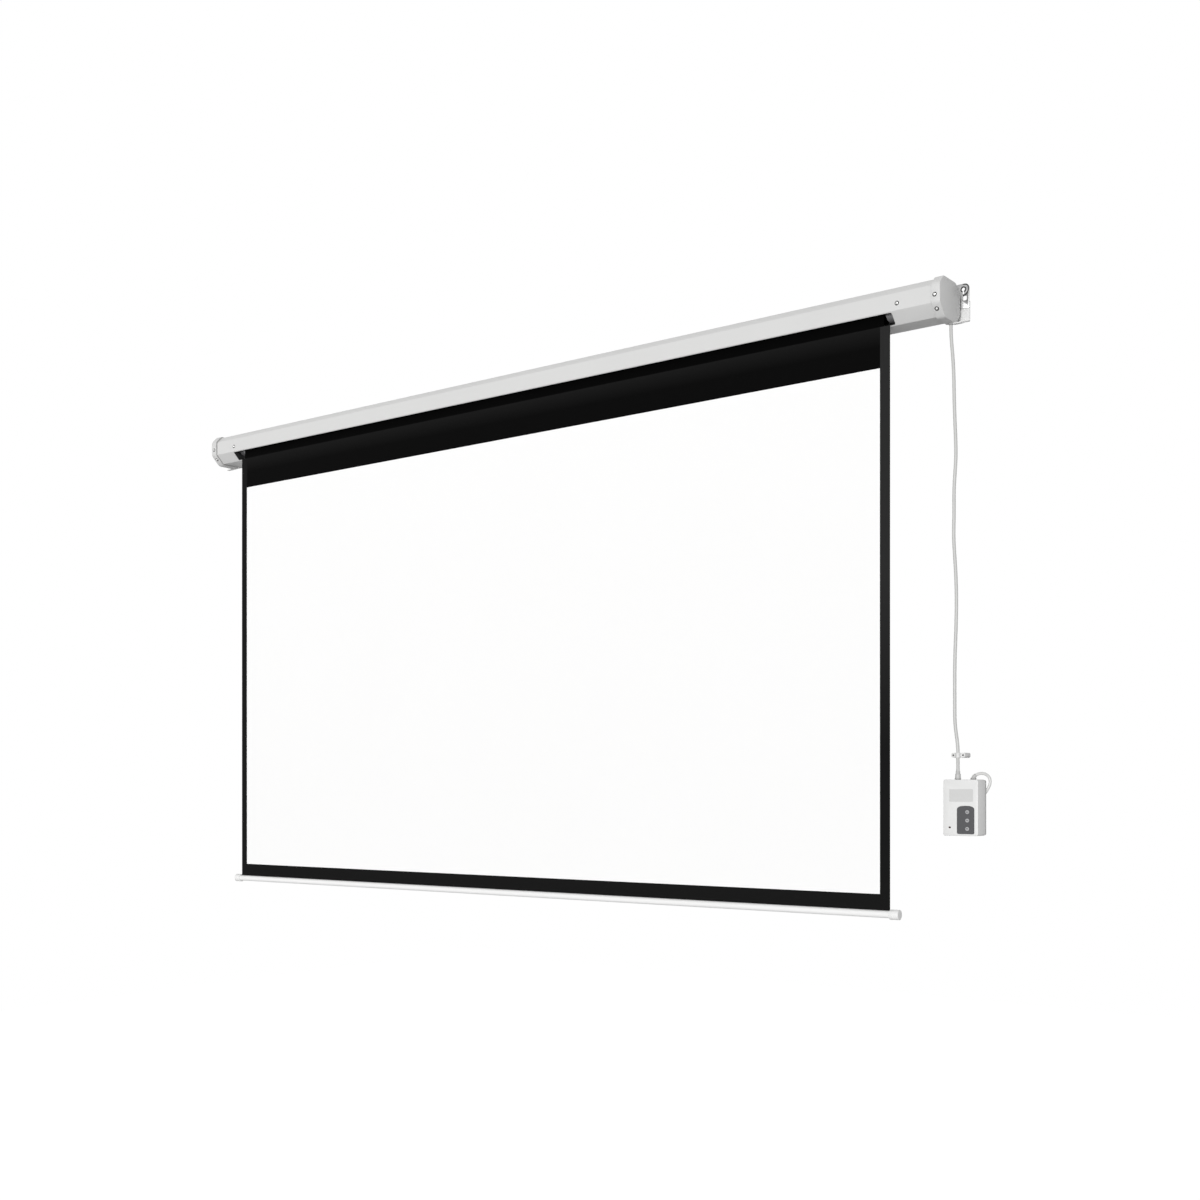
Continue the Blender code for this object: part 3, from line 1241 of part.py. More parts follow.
def swept(line, radii, sides):
    """A round body along a line whose radius goes evenly from the first value to the last."""
    along = np.gradient(line, axis=0)
    along /= np.linalg.norm(along, axis=1)[:, None]
    rings = []
    for k, (place, forward) in enumerate(zip(line, along)):
        radius = radii[0] + (radii[1] - radii[0]) * k / (len(line) - 1)
        side = np.cross(forward, (0.0, 1.0, 0.0))
        side /= np.linalg.norm(side)
        other = np.cross(forward, side)
        angles = np.linspace(0, 2 * math.pi, sides, False)
        rings.append([place + radius * (side * math.cos(a) + other * math.sin(a)) for a in angles])
    return loft(rings)


def coil_line():
    """The mains cord's coil: it spirals in, climbs a layer in half a turn, and spirals out again."""
    total = COIL_TURNS * COIL_POINTS
    points = []
    for k in range(total + 1):
        turn = k / COIL_POINTS
        middle = COIL_TURNS / 2
        radius = COIL_INNER + COIL_PITCH * abs(turn - middle)
        climb = min(1, max(0, (turn - middle + 0.25) / 0.5))
        share = (1 - math.cos(math.pi * climb)) / 2
        y = COIL_FRONT_Y + (COIL_BACK_Y - COIL_FRONT_Y) * share
        angle = -2 * math.pi * turn
        x = COIL_CENTRE[0] + radius * math.cos(angle)
        z = COIL_CENTRE[1] + radius * math.sin(angle)
        points.append((x, y, z))
    return np.array(points)


def line_length(line):
    """The length of a line of points."""
    return float(np.linalg.norm(np.diff(line, axis=0), axis=1).sum())


def least_self_gap(line, diameter):
    """The least distance between two turns' surfaces, taken on the points of the line."""
    apart = COIL_POINTS // 2
    best = math.inf
    for k in range(len(line) - apart):
        best = min(best, float(np.linalg.norm(line[k + apart :] - line[k], axis=1).min()))
    return best - diameter


def build_cords():
    """The motor cord, the mains cord with its coil, tie and plug, and the clip on the wall."""
    line, motor_length = smooth_line(MOTOR_CORD_ROUTE, 2.4 * CORD_DIAMETER)
    cord_object("motor_cord", line, CORD_DIAMETER, "cord_white", 3)
    sleeve_end = MAINS_SLEEVE_LENGTH + 2 * GAP
    line, mains_length = smooth_line(MAINS_ROUTE, 0.9 * MAINS_DIAMETER, sleeve_end)
    cord_object("mains_cord", line, MAINS_DIAMETER, "cord_white", 2)
    coil = coil_line()
    cord_object("mains_coil", coil, MAINS_DIAMETER, "cord_white", 1)
    tail, tail_length = smooth_line(TAIL_ROUTE, 1.4 * MAINS_DIAMETER)
    cord_object("mains_tail", tail, MAINS_DIAMETER, "cord_white", 2)
    lead, lead_length = smooth_line(INNER_LEAD_ROUTE, 1.4 * CORD_DIAMETER)
    cord_object("inner_lead", lead, CORD_DIAMETER, "cord_white", 2)
    build_tie()
    build_plug()
    build_clip()
    print(f"motor cord {motor_length:.4f} m, inner lead {lead_length:.4f} m")
    print(f"mains cord {mains_length:.4f} m, coil {line_length(coil):.4f} m, tail {tail_length:.4f} m")
    print(f"least gap of the coil to itself {1000 * least_self_gap(coil, MAINS_DIAMETER):.3f} mm")


def build_tie():
    """The band that holds the coil's turns together at its left side."""
    room = MAINS_DIAMETER / 2 + TIE_ROOM
    x_low = COIL_CENTRE[0] - COIL_OUTER - room
    x_high = COIL_CENTRE[0] - COIL_INNER + room
    y_low, y_high = COIL_FRONT_Y - room, COIL_BACK_Y + room
    inner = rounded(rectangle(x_low, x_high, y_low, y_high), 0.002, 3)
    grown = offset_outline(rectangle(x_low, x_high, y_low, y_high), TIE_THICKNESS)
    outer = rounded(grown, 0.002 + TIE_THICKNESS, 3)
    middle = COIL_CENTRE[1]
    band = hollow_prism(outer, inner, middle - TIE_WIDTH / 2, middle + TIE_WIDTH / 2, "Z")
    make_object("coil_tie", band, "dark_plastic")


def build_plug():
    """A plain two-pin plug at the mains cord's end."""
    length, depth, height = PLUG_SIZE
    y, z = -BOX_STANDOFF / 2, PLUG_CENTRE_Z
    rings = []
    for x, share in ((PLUG_X, 0.62), (PLUG_X - 0.35 * length, 1.0), (PLUG_X - length, 1.0)):
        corners = rectangle(y - depth / 2, y + depth / 2, z - share * height / 2, z + share * height / 2)
        rings.append([(x, a, b) for a, b in rounded(corners, 0.004, 3)])
    plug = make_object("mains_plug", loft(rings), "white_plastic")
    pins = bmesh.new()
    for side in (-1, 1):
        middle = z + side * PIN_SPACING / 2
        low = (PLUG_X - length - PIN_LENGTH, y - PIN_SIZE[1] / 2, middle - PIN_SIZE[0] / 2)
        high = (PLUG_X - length + 0.002, y + PIN_SIZE[1] / 2, middle + PIN_SIZE[0] / 2)
        box(low, high, pins)
    combine(plug, helper("plug_pins", pins), "UNION")


def build_clip():
    """The saddle clip that holds the motor cord on a spacer block, just above the control box."""
    (x, y), z = CLIP_CORD, CLIP_Z
    inner = CORD_DIAMETER / 2 + CLIP_CORD_ROOM
    outer = inner + CLIP_WALL
    face = y + 0.0010
    foot = math.sqrt(outer**2 - (face - y) ** 2)
    start = math.atan2(face - y, foot)
    arc = np.linspace(start, -math.pi - start, 15)
    hump = [(x + outer * math.cos(a), y + outer * math.sin(a)) for a in arc]
    outline = [(x + CLIP_HALF_WIDTH, 0), (x + CLIP_HALF_WIDTH, face), *hump]
    outline += [(x - CLIP_HALF_WIDTH, face), (x - CLIP_HALF_WIDTH, 0)]
    body = prism(outline, z - CLIP_HEIGHT / 2, z + CLIP_HEIGHT / 2, "Z")
    clip = make_object("saddle_clip", body, "white_plastic")
    bore = rod_profile(z - CLIP_HEIGHT, z + CLIP_HEIGHT, inner)
    combine(clip, helper("clip_bore", turned(bore, (x, y), "Z", 20)))


def carrier_empty(name, place, pieces):
    """An empty on a joint's axis that carries the pieces which move together."""
    empty = bpy.data.objects.new(name, None)
    empty.location = place
    bpy.context.scene.collection.objects.link(empty)
    for piece in pieces:
        piece.parent = empty
        piece.location = Vector(piece.location) - Vector(place)
    return empty


def print_places():
    """The places that a drawing of the joints needs."""
    print(f"roller axis at y {ROLLER_Y:.5f}, fabric at y {FABRIC_Y:.5f}")
    print(f"bar axis at z {BAR_Z:.5f}, travel {BAR_TRAVEL:.5f} m")
    print(f"fabric per radian of the roller {ROLLER_RATIO:.6f} m")
    print(f"full travel turns the roller {math.degrees(BAR_TRAVEL / ROLLER_RATIO):.2f} degrees")


def build():
    """The whole projector screen."""
    clear_scene()
    shell = build_case()
    build_carriers(shell)
    build_brackets()
    roller = build_roller()
    motor = build_motor()
    build_screen()
    bar = build_bar()
    cover, _ = build_box()
    build_glands(cover)
    build_cords()
    carrier_empty("roller_axis", axis_origin(), roller + motor["turning"])
    carrier_empty("bar_travel", (0, FABRIC_Y, BAR_Z), bar)
    print_places()


build()
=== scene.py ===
"""Visual model of a motorized projector screen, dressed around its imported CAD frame.

The case, the fabric on its roller, the bottom bar and the control box on its cords are each a class
that models its pieces and gives them their finishes. Metres, +Z up, and the wall is the plane Y = 0.
"""

from __future__ import annotations

import json
import logging
import math
from collections.abc import Callable, Iterator, Sequence
from contextlib import contextmanager
from dataclasses import dataclass, field
from enum import Enum

import bmesh
import bpy
import numpy as np
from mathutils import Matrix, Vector

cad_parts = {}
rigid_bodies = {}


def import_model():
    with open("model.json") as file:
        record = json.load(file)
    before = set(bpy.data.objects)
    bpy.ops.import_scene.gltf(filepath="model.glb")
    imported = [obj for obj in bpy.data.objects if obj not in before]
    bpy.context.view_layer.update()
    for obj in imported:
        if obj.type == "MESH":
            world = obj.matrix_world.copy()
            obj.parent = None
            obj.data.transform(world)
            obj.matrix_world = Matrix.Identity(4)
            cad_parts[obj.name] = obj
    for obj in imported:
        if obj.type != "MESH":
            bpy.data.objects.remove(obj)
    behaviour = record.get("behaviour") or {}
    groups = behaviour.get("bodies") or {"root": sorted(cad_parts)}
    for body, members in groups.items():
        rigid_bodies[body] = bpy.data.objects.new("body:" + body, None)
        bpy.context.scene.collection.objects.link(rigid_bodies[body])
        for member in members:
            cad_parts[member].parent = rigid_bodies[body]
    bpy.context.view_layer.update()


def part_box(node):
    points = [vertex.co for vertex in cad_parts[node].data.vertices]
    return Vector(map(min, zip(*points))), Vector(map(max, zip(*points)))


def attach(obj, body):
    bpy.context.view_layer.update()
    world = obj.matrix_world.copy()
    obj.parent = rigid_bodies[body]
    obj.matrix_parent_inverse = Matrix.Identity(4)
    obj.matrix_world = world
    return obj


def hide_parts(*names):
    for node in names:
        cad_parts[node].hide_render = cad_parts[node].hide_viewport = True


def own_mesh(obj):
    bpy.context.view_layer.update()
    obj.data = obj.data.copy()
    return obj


LOG = logging.getLogger("screen")
Pair = tuple[float, float]
Point = tuple[float, float, float]
Colour = tuple[float, float, float]
# How far apart two places may be and still count as one, in metres
NEAR = 0.0001
# How far a corner may be from a plane that it lies in, in metres
CLOSE = 0.00001
# Corners of a copied solid closer than this are merged
MERGE = 0.000004
# Points worked out on a spline for each point of its route
FINENESS = 60
# Degrees between two faces: from CREASE on their edge stays sharp, and under FLAT they count as one face
CREASE = 32.0
FLAT = 0.4


# Shader graphs


class Signal:
    """One output socket of a graph, whose operators add Math nodes."""

    def __init__(self, graph: Tree, socket: bpy.types.NodeSocket) -> None:
        """Keeps the graph that the socket belongs to.

        Args:
            graph: The graph that new nodes go into.
            socket: The output socket that this signal stands for.
        """
        self.graph = graph
        self.socket = socket

    def maths(self, operation: str, *values: Signal | float) -> Signal:
        """A Math node over this graph's signals and numbers.

        Args:
            operation: The Math node's operation.
            values: What goes into its inputs, in order.

        Returns:
            The node's output.
        """
        return self.graph.node("ShaderNodeMath", {"operation": operation}, dict(enumerate(values)))

    def __add__(self, other: Signal | float) -> Signal:
        """This signal plus another value."""
        return self.maths("ADD", self, other)

    def __rsub__(self, other: float) -> Signal:
        """A number less this signal."""
        return self.maths("SUBTRACT", other, self)

    def __mul__(self, other: Signal | float) -> Signal:
        """This signal times another value."""
        return self.maths("MULTIPLY", self, other)

    def __mod__(self, other: float) -> Signal:
        """The remainder of this signal, never below zero."""
        return self.maths("FLOORED_MODULO", self, other)

    def __gt__(self, other: Signal | float) -> Signal:
        """1 where this signal is the larger, and otherwise 0."""
        return self.maths("GREATER_THAN", self, other)

    def __lt__(self, other: Signal | float) -> Signal:
        """1 where this signal is the smaller, and otherwise 0."""
        return self.maths("LESS_THAN", self, other)

    def __abs__(self) -> Signal:
        """This signal without its sign."""
        return self.maths("ABSOLUTE", self)

    __radd__ = __add__
    __rmul__ = __mul__

    def sine(self) -> Signal:
        """The sine of this signal, in radians."""
        return self.maths("SINE", self)

    def floor(self) -> Signal:
        """The whole number below this signal."""
        return self.maths("FLOOR", self)

    def spread(self, low: float, high: float) -> Signal:
        """This 0 to 1 signal spread between two values."""
        return self * (high - low) + low

    def mixed(self, other: Signal, share: float) -> Signal:
        """A mix of this signal and another, whose share is given."""
        return self * (1 - share) + other * share

    def climb(self, low: float, high: float) -> Signal:
        """0 where this signal is at most low, 1 where it is at least high, and even between them."""
        return self.graph.node("ShaderNodeMapRange", {}, {0: self, 1: low, 2: high})


class Tree:
    """A node tree that nodes are added to."""

    def __init__(self, tree: bpy.types.NodeTree) -> None:
        """Keeps the tree."""
        self.tree = tree

    def node(
        self,
        kind: str,
        settings: dict[str, object] | None = None,
        values: dict[str | int, object] | None = None,
        output: str | int = 0,
    ) -> Signal:
        """Adds one node.

        Args:
            kind: The node's type.
            settings: Its own settings, which are set first.
            values: The values or signals of its inputs, by name or place.
            output: The output that is wanted.

        Returns:
            That output.
        """
        made = self.tree.nodes.new(kind)
        for key, value in (settings or {}).items():
            setattr(made, key, value)
        for key, value in (values or {}).items():
            if isinstance(value, Signal):
                self.tree.links.new(value.socket, made.inputs[key])
            elif value is not None:
                made.inputs[key].default_value = value
        return Signal(self, made.outputs[output])


class Graph(Tree):
    """The node tree of one material, round its Principled shader."""

    def __init__(self, name: str) -> None:
        """Makes the material.

        Args:
            name: The material's name.
        """
        self.material = bpy.data.materials.new(name)
        self.material.use_nodes = True
        super().__init__(self.material.node_tree)
        self.shader = self.tree.nodes["Principled BSDF"]
        self.place = self.node("ShaderNodeTexCoord", output="Object")

    def axes(self) -> tuple[Signal, Signal, Signal]:
        """The place of the point that is shaded.

        Returns:
            Its X, its Y and its Z.
        """
        split = self.node("ShaderNodeSeparateXYZ", values={0: self.place})
        outputs = split.socket.node.outputs
        return Signal(self, outputs[0]), Signal(self, outputs[1]), Signal(self, outputs[2])

    def stretched(self, scale: Point) -> Signal:
        """The shaded point with each coordinate times a number."""
        return self.node("ShaderNodeMapping", values={"Vector": self.place, "Scale": scale})

    def noise(self, scale: float, detail: float = 2.0, where: Signal | None = None) -> Signal:
        """A 0 to 1 noise.

        Args:
            scale: Blobs to the metre.
            detail: How many finer layers it has.
            where: The point that it is read at, or None for the shaded point.

        Returns:
            The noise.
        """
        values = {"Vector": where or self.place, "Scale": scale, "Detail": detail}
        return self.node("ShaderNodeTexNoise", values=values)

    def cells(self, scale: float) -> Signal:
        """A grey for each of a field of cells, as in the flowers of zinc.

        Args:
            scale: Cells to the metre.

        Returns:
            The grey.
        """
        values = {"Vector": self.place, "Scale": scale}
        shade = self.node("ShaderNodeTexVoronoi", values=values, output="Color")
        return self.node("ShaderNodeSeparateColor", values={0: shade})

    def blend(self, share: Signal | float, first: Colour | Signal, second: Colour | Signal) -> Signal:
        """A colour between two.

        Args:
            share: 0 for the first and 1 for the second.
            first: The colour at 0.
            second: The colour at 1.

        Returns:
            The mixed colour.
        """
        ends = [end if isinstance(end, Signal) else (*end, 1) for end in (first, second)]
        return self.node("ShaderNodeMix", {"data_type": "RGBA"}, {0: share, 6: ends[0], 7: ends[1]}, 2)

    def close(
        self,
        colour: Signal,
        roughness: Signal,
        height: Signal,
        depth: float,
        fixed: dict[str, float | tuple[float, ...]] | None = None,
    ) -> bpy.types.Material:
        """Links what varies to the shader and sets what doesn't.

        Args:
            colour: Base colour.
            roughness: Roughness.
            height: Relief from 0 to 1.
            depth: The relief's depth in metres.
            fixed: The shader's other sockets, each with one value all over.

        Returns:
            The finished material.
        """
        bump = self.node("ShaderNodeBump", values={"Strength": 1.0, "Distance": depth, "Height": height})
        for key, signal in (("Base Color", colour), ("Roughness", roughness), ("Normal", bump)):
            self.tree.links.new(signal.socket, self.shader.inputs[key])
        for key, value in (fixed or {}).items():
            self.shader.inputs[key].default_value = value
        return self.material


# Finishes


def shaded(colour: Colour, factor: float) -> Colour:
    """A colour times a number, kept below white."""
    return tuple(min(1.0, part * factor) for part in colour)


def shades(colour: Colour, factors: Pair) -> tuple[Colour, Colour]:
    """A colour times each of two numbers."""
    return shaded(colour, factors[0]), shaded(colour, factors[1])


def about(middle: float, below: float, above: float) -> Pair:
    """The two ends of a range that reaches below and above a value."""
    return middle - below, middle + above


@dataclass(frozen=True)
class Enamel:
    """Stove enamel on sheet steel: a faint orange peel under an even colour."""

    name: str
    colour: Colour
    roughness: float = 0.42
    # Blobs to the metre of its clouds, its polish, its peel and its specks
    cloud: float = 5.0
    polish: float = 60.0
    peel: float = 420.0
    speck: float = 1900.0
    # How high the speck noise has to be for a speck, and how much and how dark it shows
    speck_level: float = 0.71
    speck_share: float = 0.35
    speck_tone: float = 0.86
    tones: Pair = (0.975, 1.02)
    reach: Pair = (0.06, 0.06)
    peel_depth: float = 0.00003
    specular: float = 0.4

    def material(self) -> bpy.types.Material:
        """The enamel as a material.

        Returns:
            The material.
        """
        graph = Graph(self.name)
        cloud = graph.noise(self.cloud, 3.0)
        speck = graph.noise(self.speck, 1.0)
        tone = graph.blend(cloud, *shades(self.colour, self.tones))
        specks = (speck > self.speck_level) * self.speck_share
        tone = graph.blend(specks, tone, shaded(self.colour, self.speck_tone))
        rough = graph.noise(self.polish, 2.0).spread(*about(self.roughness, *self.reach))
        peel = graph.noise(self.peel, 2.0).mixed(speck, 0.2)
        return graph.close(tone, rough, peel, self.peel_depth, {"Specular IOR Level": self.specular})


@dataclass(frozen=True)
class Moulding:
    """Injection-moulded plastic with the fine spark-eroded grain of its tool."""

    name: str
    colour: Colour
    roughness: float = 0.45
    # Blobs to the metre of the plastic's flow, and its stretch, then of the tool's grain
    flow: float = 18.0
    flow_stretch: Point = (1.0, 0.6, 2.2)
    grain: float = 1500.0
    grain_depth: float = 0.00003
    tones: Pair = (0.96, 1.03)
    reach: Pair = (0.09, 0.09)
    specular: float = 0.4

    def material(self) -> bpy.types.Material:
        """The plastic as a material.

        Returns:
            The material.
        """
        graph = Graph(self.name)
        flow = graph.noise(self.flow, 2.0, graph.stretched(self.flow_stretch))
        grain = graph.noise(self.grain, 2.0)
        tone = graph.blend(flow, *shades(self.colour, self.tones))
        rough = grain.mixed(flow, 0.4).spread(*about(self.roughness, *self.reach))
        return graph.close(tone, rough, grain, self.grain_depth, {"Specular IOR Level": self.specular})


@dataclass(frozen=True)
class Plated:
    """Bare or plated metal: drawn lines along its length, or the cells of hot zinc."""

    name: str
    colour: Colour
    roughness: float = 0.35
    drawn: Point = (4.0, 900.0, 900.0)
    cells: float = 0.0
    metallic: float = 1.0
    contrast: float = 0.12
    # Blobs to the metre of its wear, and how much and how dark it shows
    wear: float = 26.0
    wear_share: float = 0.3
    wear_tone: float = 0.72
    reach: Pair = (0.1, 0.14)
    depth: float = 0.000015

    def material(self) -> bpy.types.Material:
        """The metal as a material.

        Returns:
            The material.
        """
        graph = Graph(self.name)
        lines = graph.noise(1.0, 2.0, graph.stretched(self.drawn))
        wear = graph.noise(self.wear, 4.0)
        pattern = graph.cells(self.cells).mixed(lines, 0.3) if self.cells else lines
        tones = about(1.0, self.contrast, self.contrast)
        tone = graph.blend(pattern, *shades(self.colour, tones))
        tone = graph.blend(wear * self.wear_share, tone, shaded(self.colour, self.wear_tone))
        rough = pattern.mixed(wear, 0.4).spread(*about(self.roughness, *self.reach))
        return graph.close(tone, rough, lines, self.depth, {"Metallic": self.metallic})


@dataclass(frozen=True)
class Weave:
    """Coated cloth whose plain weave shows through its coating."""

    name: str
    grey: float
    pitch: float = 0.0007
    depth: float = 0.00004
    # Blobs to the metre of its slubs, which are stretched upwards, and of its dust
    slub: float = 700.0
    slub_stretch: Point = (1.0, 1.0, 0.08)
    dust: float = 9.0
    dust_grey: float = 0.0004
    # How dark its hollows and how light its crests are, as shares of its grey
    contrast: Pair = (0.8, 1.2)
    roughness: float = 0.72
    reach: Pair = (0.08, 0.1)
    specular: float = 0.12

    def ground(self, across: Signal, up: Signal) -> Signal | float:
        """How light the cloth is before its weave, here the same all over.

        Args:
            across: The X of the shaded point; not used.
            up: The Z of the shaded point; not used.

        Returns:
            The grey.
        """
        return self.grey

    def material(self) -> bpy.types.Material:
        """The cloth as a material.

        Returns:
            The material.
        """
        graph = Graph(self.name)
        x, _, z = graph.axes()
        warp, weft = x * (1 / self.pitch), z * (1 / self.pitch)
        over = (warp.floor() + weft.floor()) % 2.0
        crests = abs((warp * math.pi).sine()) * over + abs((weft * math.pi).sine()) * (1.0 - over)
        slub = graph.noise(self.slub, 2.0, graph.stretched(self.slub_stretch))
        dust = graph.noise(self.dust, 4.0)
        share = crests.mixed(slub, 0.5).spread(*self.contrast) * self.ground(x, z) + dust * self.dust_grey
        tone = graph.blend(share, (0.0, 0.0, 0.0), (1.0, 1.0, 1.0))
        rough = slub.mixed(dust, 0.5).spread(*about(self.roughness, *self.reach))
        relief = crests.mixed(slub, 0.3)
        return graph.close(tone, rough, relief, self.depth, {"Specular IOR Level": self.specular})


@dataclass(frozen=True)
class Blackout(Weave):
    """The screen's black cloth: painted shade inside the case, a painted band of light just under it,
    lighter along its sides and foot, and a painted sheen high on its right edge.
    """

    # The case's foot, how far below it the painted band of light fades, and where the lighter edges and hem
    # start
    case_foot: float = -0.0415
    fade: float = 0.045
    side: float = 1.1052
    hem: float = -1.3298
    # Greys: painted light added just under the case, along the edges, painted sheen added high on the right
    # edge, and over all
    painted_light_grey: float = 0.0075
    edge_grey: float = 0.0085
    painted_sheen_grey: float = 0.0145
    least_grey: float = 0.0003
    # The heights between which the right edge's painted sheen sets in
    sheen_heights: Pair = (-1.0, -0.6)

    def ground(self, across: Signal, up: Signal) -> Signal:
        """How light the cloth is before its weave.

        Args:
            across: The X of the shaded point.
            up: The Z of the shaded point.

        Returns:
            The grey.
        """
        # Painted light: a band just under the case's foot, fading downwards over the drop
        plain = up.climb(self.case_foot - self.fade, self.case_foot) * self.painted_light_grey + self.grey
        # Lighter side edges and hem, with a painted sheen added high on the right edge
        edge_and_sheen = (across > self.side) * up.climb(*self.sheen_heights) * self.painted_sheen_grey + self.edge_grey
        side = abs(across) > self.side
        edge = side.maths("MAXIMUM", side, up < self.hem)
        hung = edge * edge_and_sheen + (1.0 - edge) * plain
        # Painted shade: above the case's foot, inside the case, only the least grey is left
        return (up < self.case_foot) * hung + self.least_grey


@dataclass(frozen=True)
class Matte:
    """The viewing surface: white vinyl embossed with a fine even pebble, so that it doesn't shine."""

    name: str
    colour: Colour
    pebble: float = 2600.0
    cloud: float = 2.2
    tones: Pair = (0.985, 1.01)
    roughness: Pair = (0.82, 0.95)
    depth: float = 0.00002
    specular: float = 0.15

    def material(self) -> bpy.types.Material:
        """The surface as a material.

        Returns:
            The material.
        """
        graph = Graph(self.name)
        pebble = graph.noise(self.pebble, 1.0)
        cloud = graph.noise(self.cloud, 3.0)
        tone = graph.blend(cloud.mixed(pebble, 0.4), *shades(self.colour, self.tones))
        rough = pebble.spread(*self.roughness)
        return graph.close(tone, rough, pebble, self.depth, {"Specular IOR Level": self.specular})


@dataclass(frozen=True)
class Jacket:
    """The extruded vinyl jacket of a cord, with the faint rise of the cores laid up inside it."""

    name: str
    colour: Colour
    roughness: float = 0.38
    # Radians to the metre of the cores' twist, along and across
    twist: Pair = (210.0, 420.0)
    scuff: float = 240.0
    grime: float = 14.0
    tones: Pair = (1.03, 0.93)
    reach: Pair = (0.08, 0.14)
    depth: float = 0.00008

    def material(self) -> bpy.types.Material:
        """The jacket as a material.

        Returns:
            The material.
        """
        graph = Graph(self.name)
        x, y, z = graph.axes()
        along, across = self.twist
        lay = ((z * along) + (x * across) + (y * across)).sine() * 0.5 + 0.5
        scuff = graph.noise(self.scuff, 3.0)
        grime = graph.noise(self.grime, 3.0)
        tone = graph.blend(grime.mixed(scuff, 0.3), *shades(self.colour, self.tones))
        rough = scuff.spread(*about(self.roughness, *self.reach))
        return graph.close(tone, rough, lay.mixed(scuff, 0.3), self.depth)


@dataclass(frozen=True)
class Winding:
    """Enamelled copper wire wound over a stator's laminations."""

    name: str
    colour: Colour
    pitch: float = 0.0011
    varnish: float = 90.0
    tones: Pair = (0.45, 1.15)
    roughness: Pair = (0.25, 0.45)
    depth: float = 0.0002
    metallic: float = 0.85

    def material(self) -> bpy.types.Material:
        """The winding as a material.

        Returns:
            The material.
        """
        graph = Graph(self.name)
        x, _, _ = graph.axes()
        turns = abs((x * (math.pi / self.pitch)).sine())
        shade = graph.noise(self.varnish, 2.0)
        tone = graph.blend(turns, *shades(self.colour, self.tones))
        rough = shade.spread(*self.roughness)
        return graph.close(tone, rough, turns, self.depth, {"Metallic": self.metallic})


@dataclass(frozen=True)
class Laminate:
    """A circuit board: solder mask over copper tracks that run along and across."""

    name: str
    mask: Colour
    track: Colour
    # Cells to the metre of its patches, radians to the metre of its tracks, and how narrow they are
    patches: float = 70.0
    tracks: float = 900.0
    narrow: float = 0.82
    gloss: float = 300.0
    roughness: Pair = (0.3, 0.45)
    depth: float = 0.00004

    def material(self) -> bpy.types.Material:
        """The board as a material.

        Returns:
            The material.
        """
        graph = Graph(self.name)
        x, _, z = graph.axes()
        patch = graph.cells(self.patches) > 0.5
        along = abs((x * self.tracks).sine()) > self.narrow
        across = abs((z * self.tracks).sine()) > self.narrow
        tracks = along * patch + across * (1.0 - patch)
        tone = graph.blend(tracks, self.mask, self.track)
        rough = graph.noise(self.gloss).spread(*self.roughness)
        return graph.close(tone, rough, tracks, self.depth)


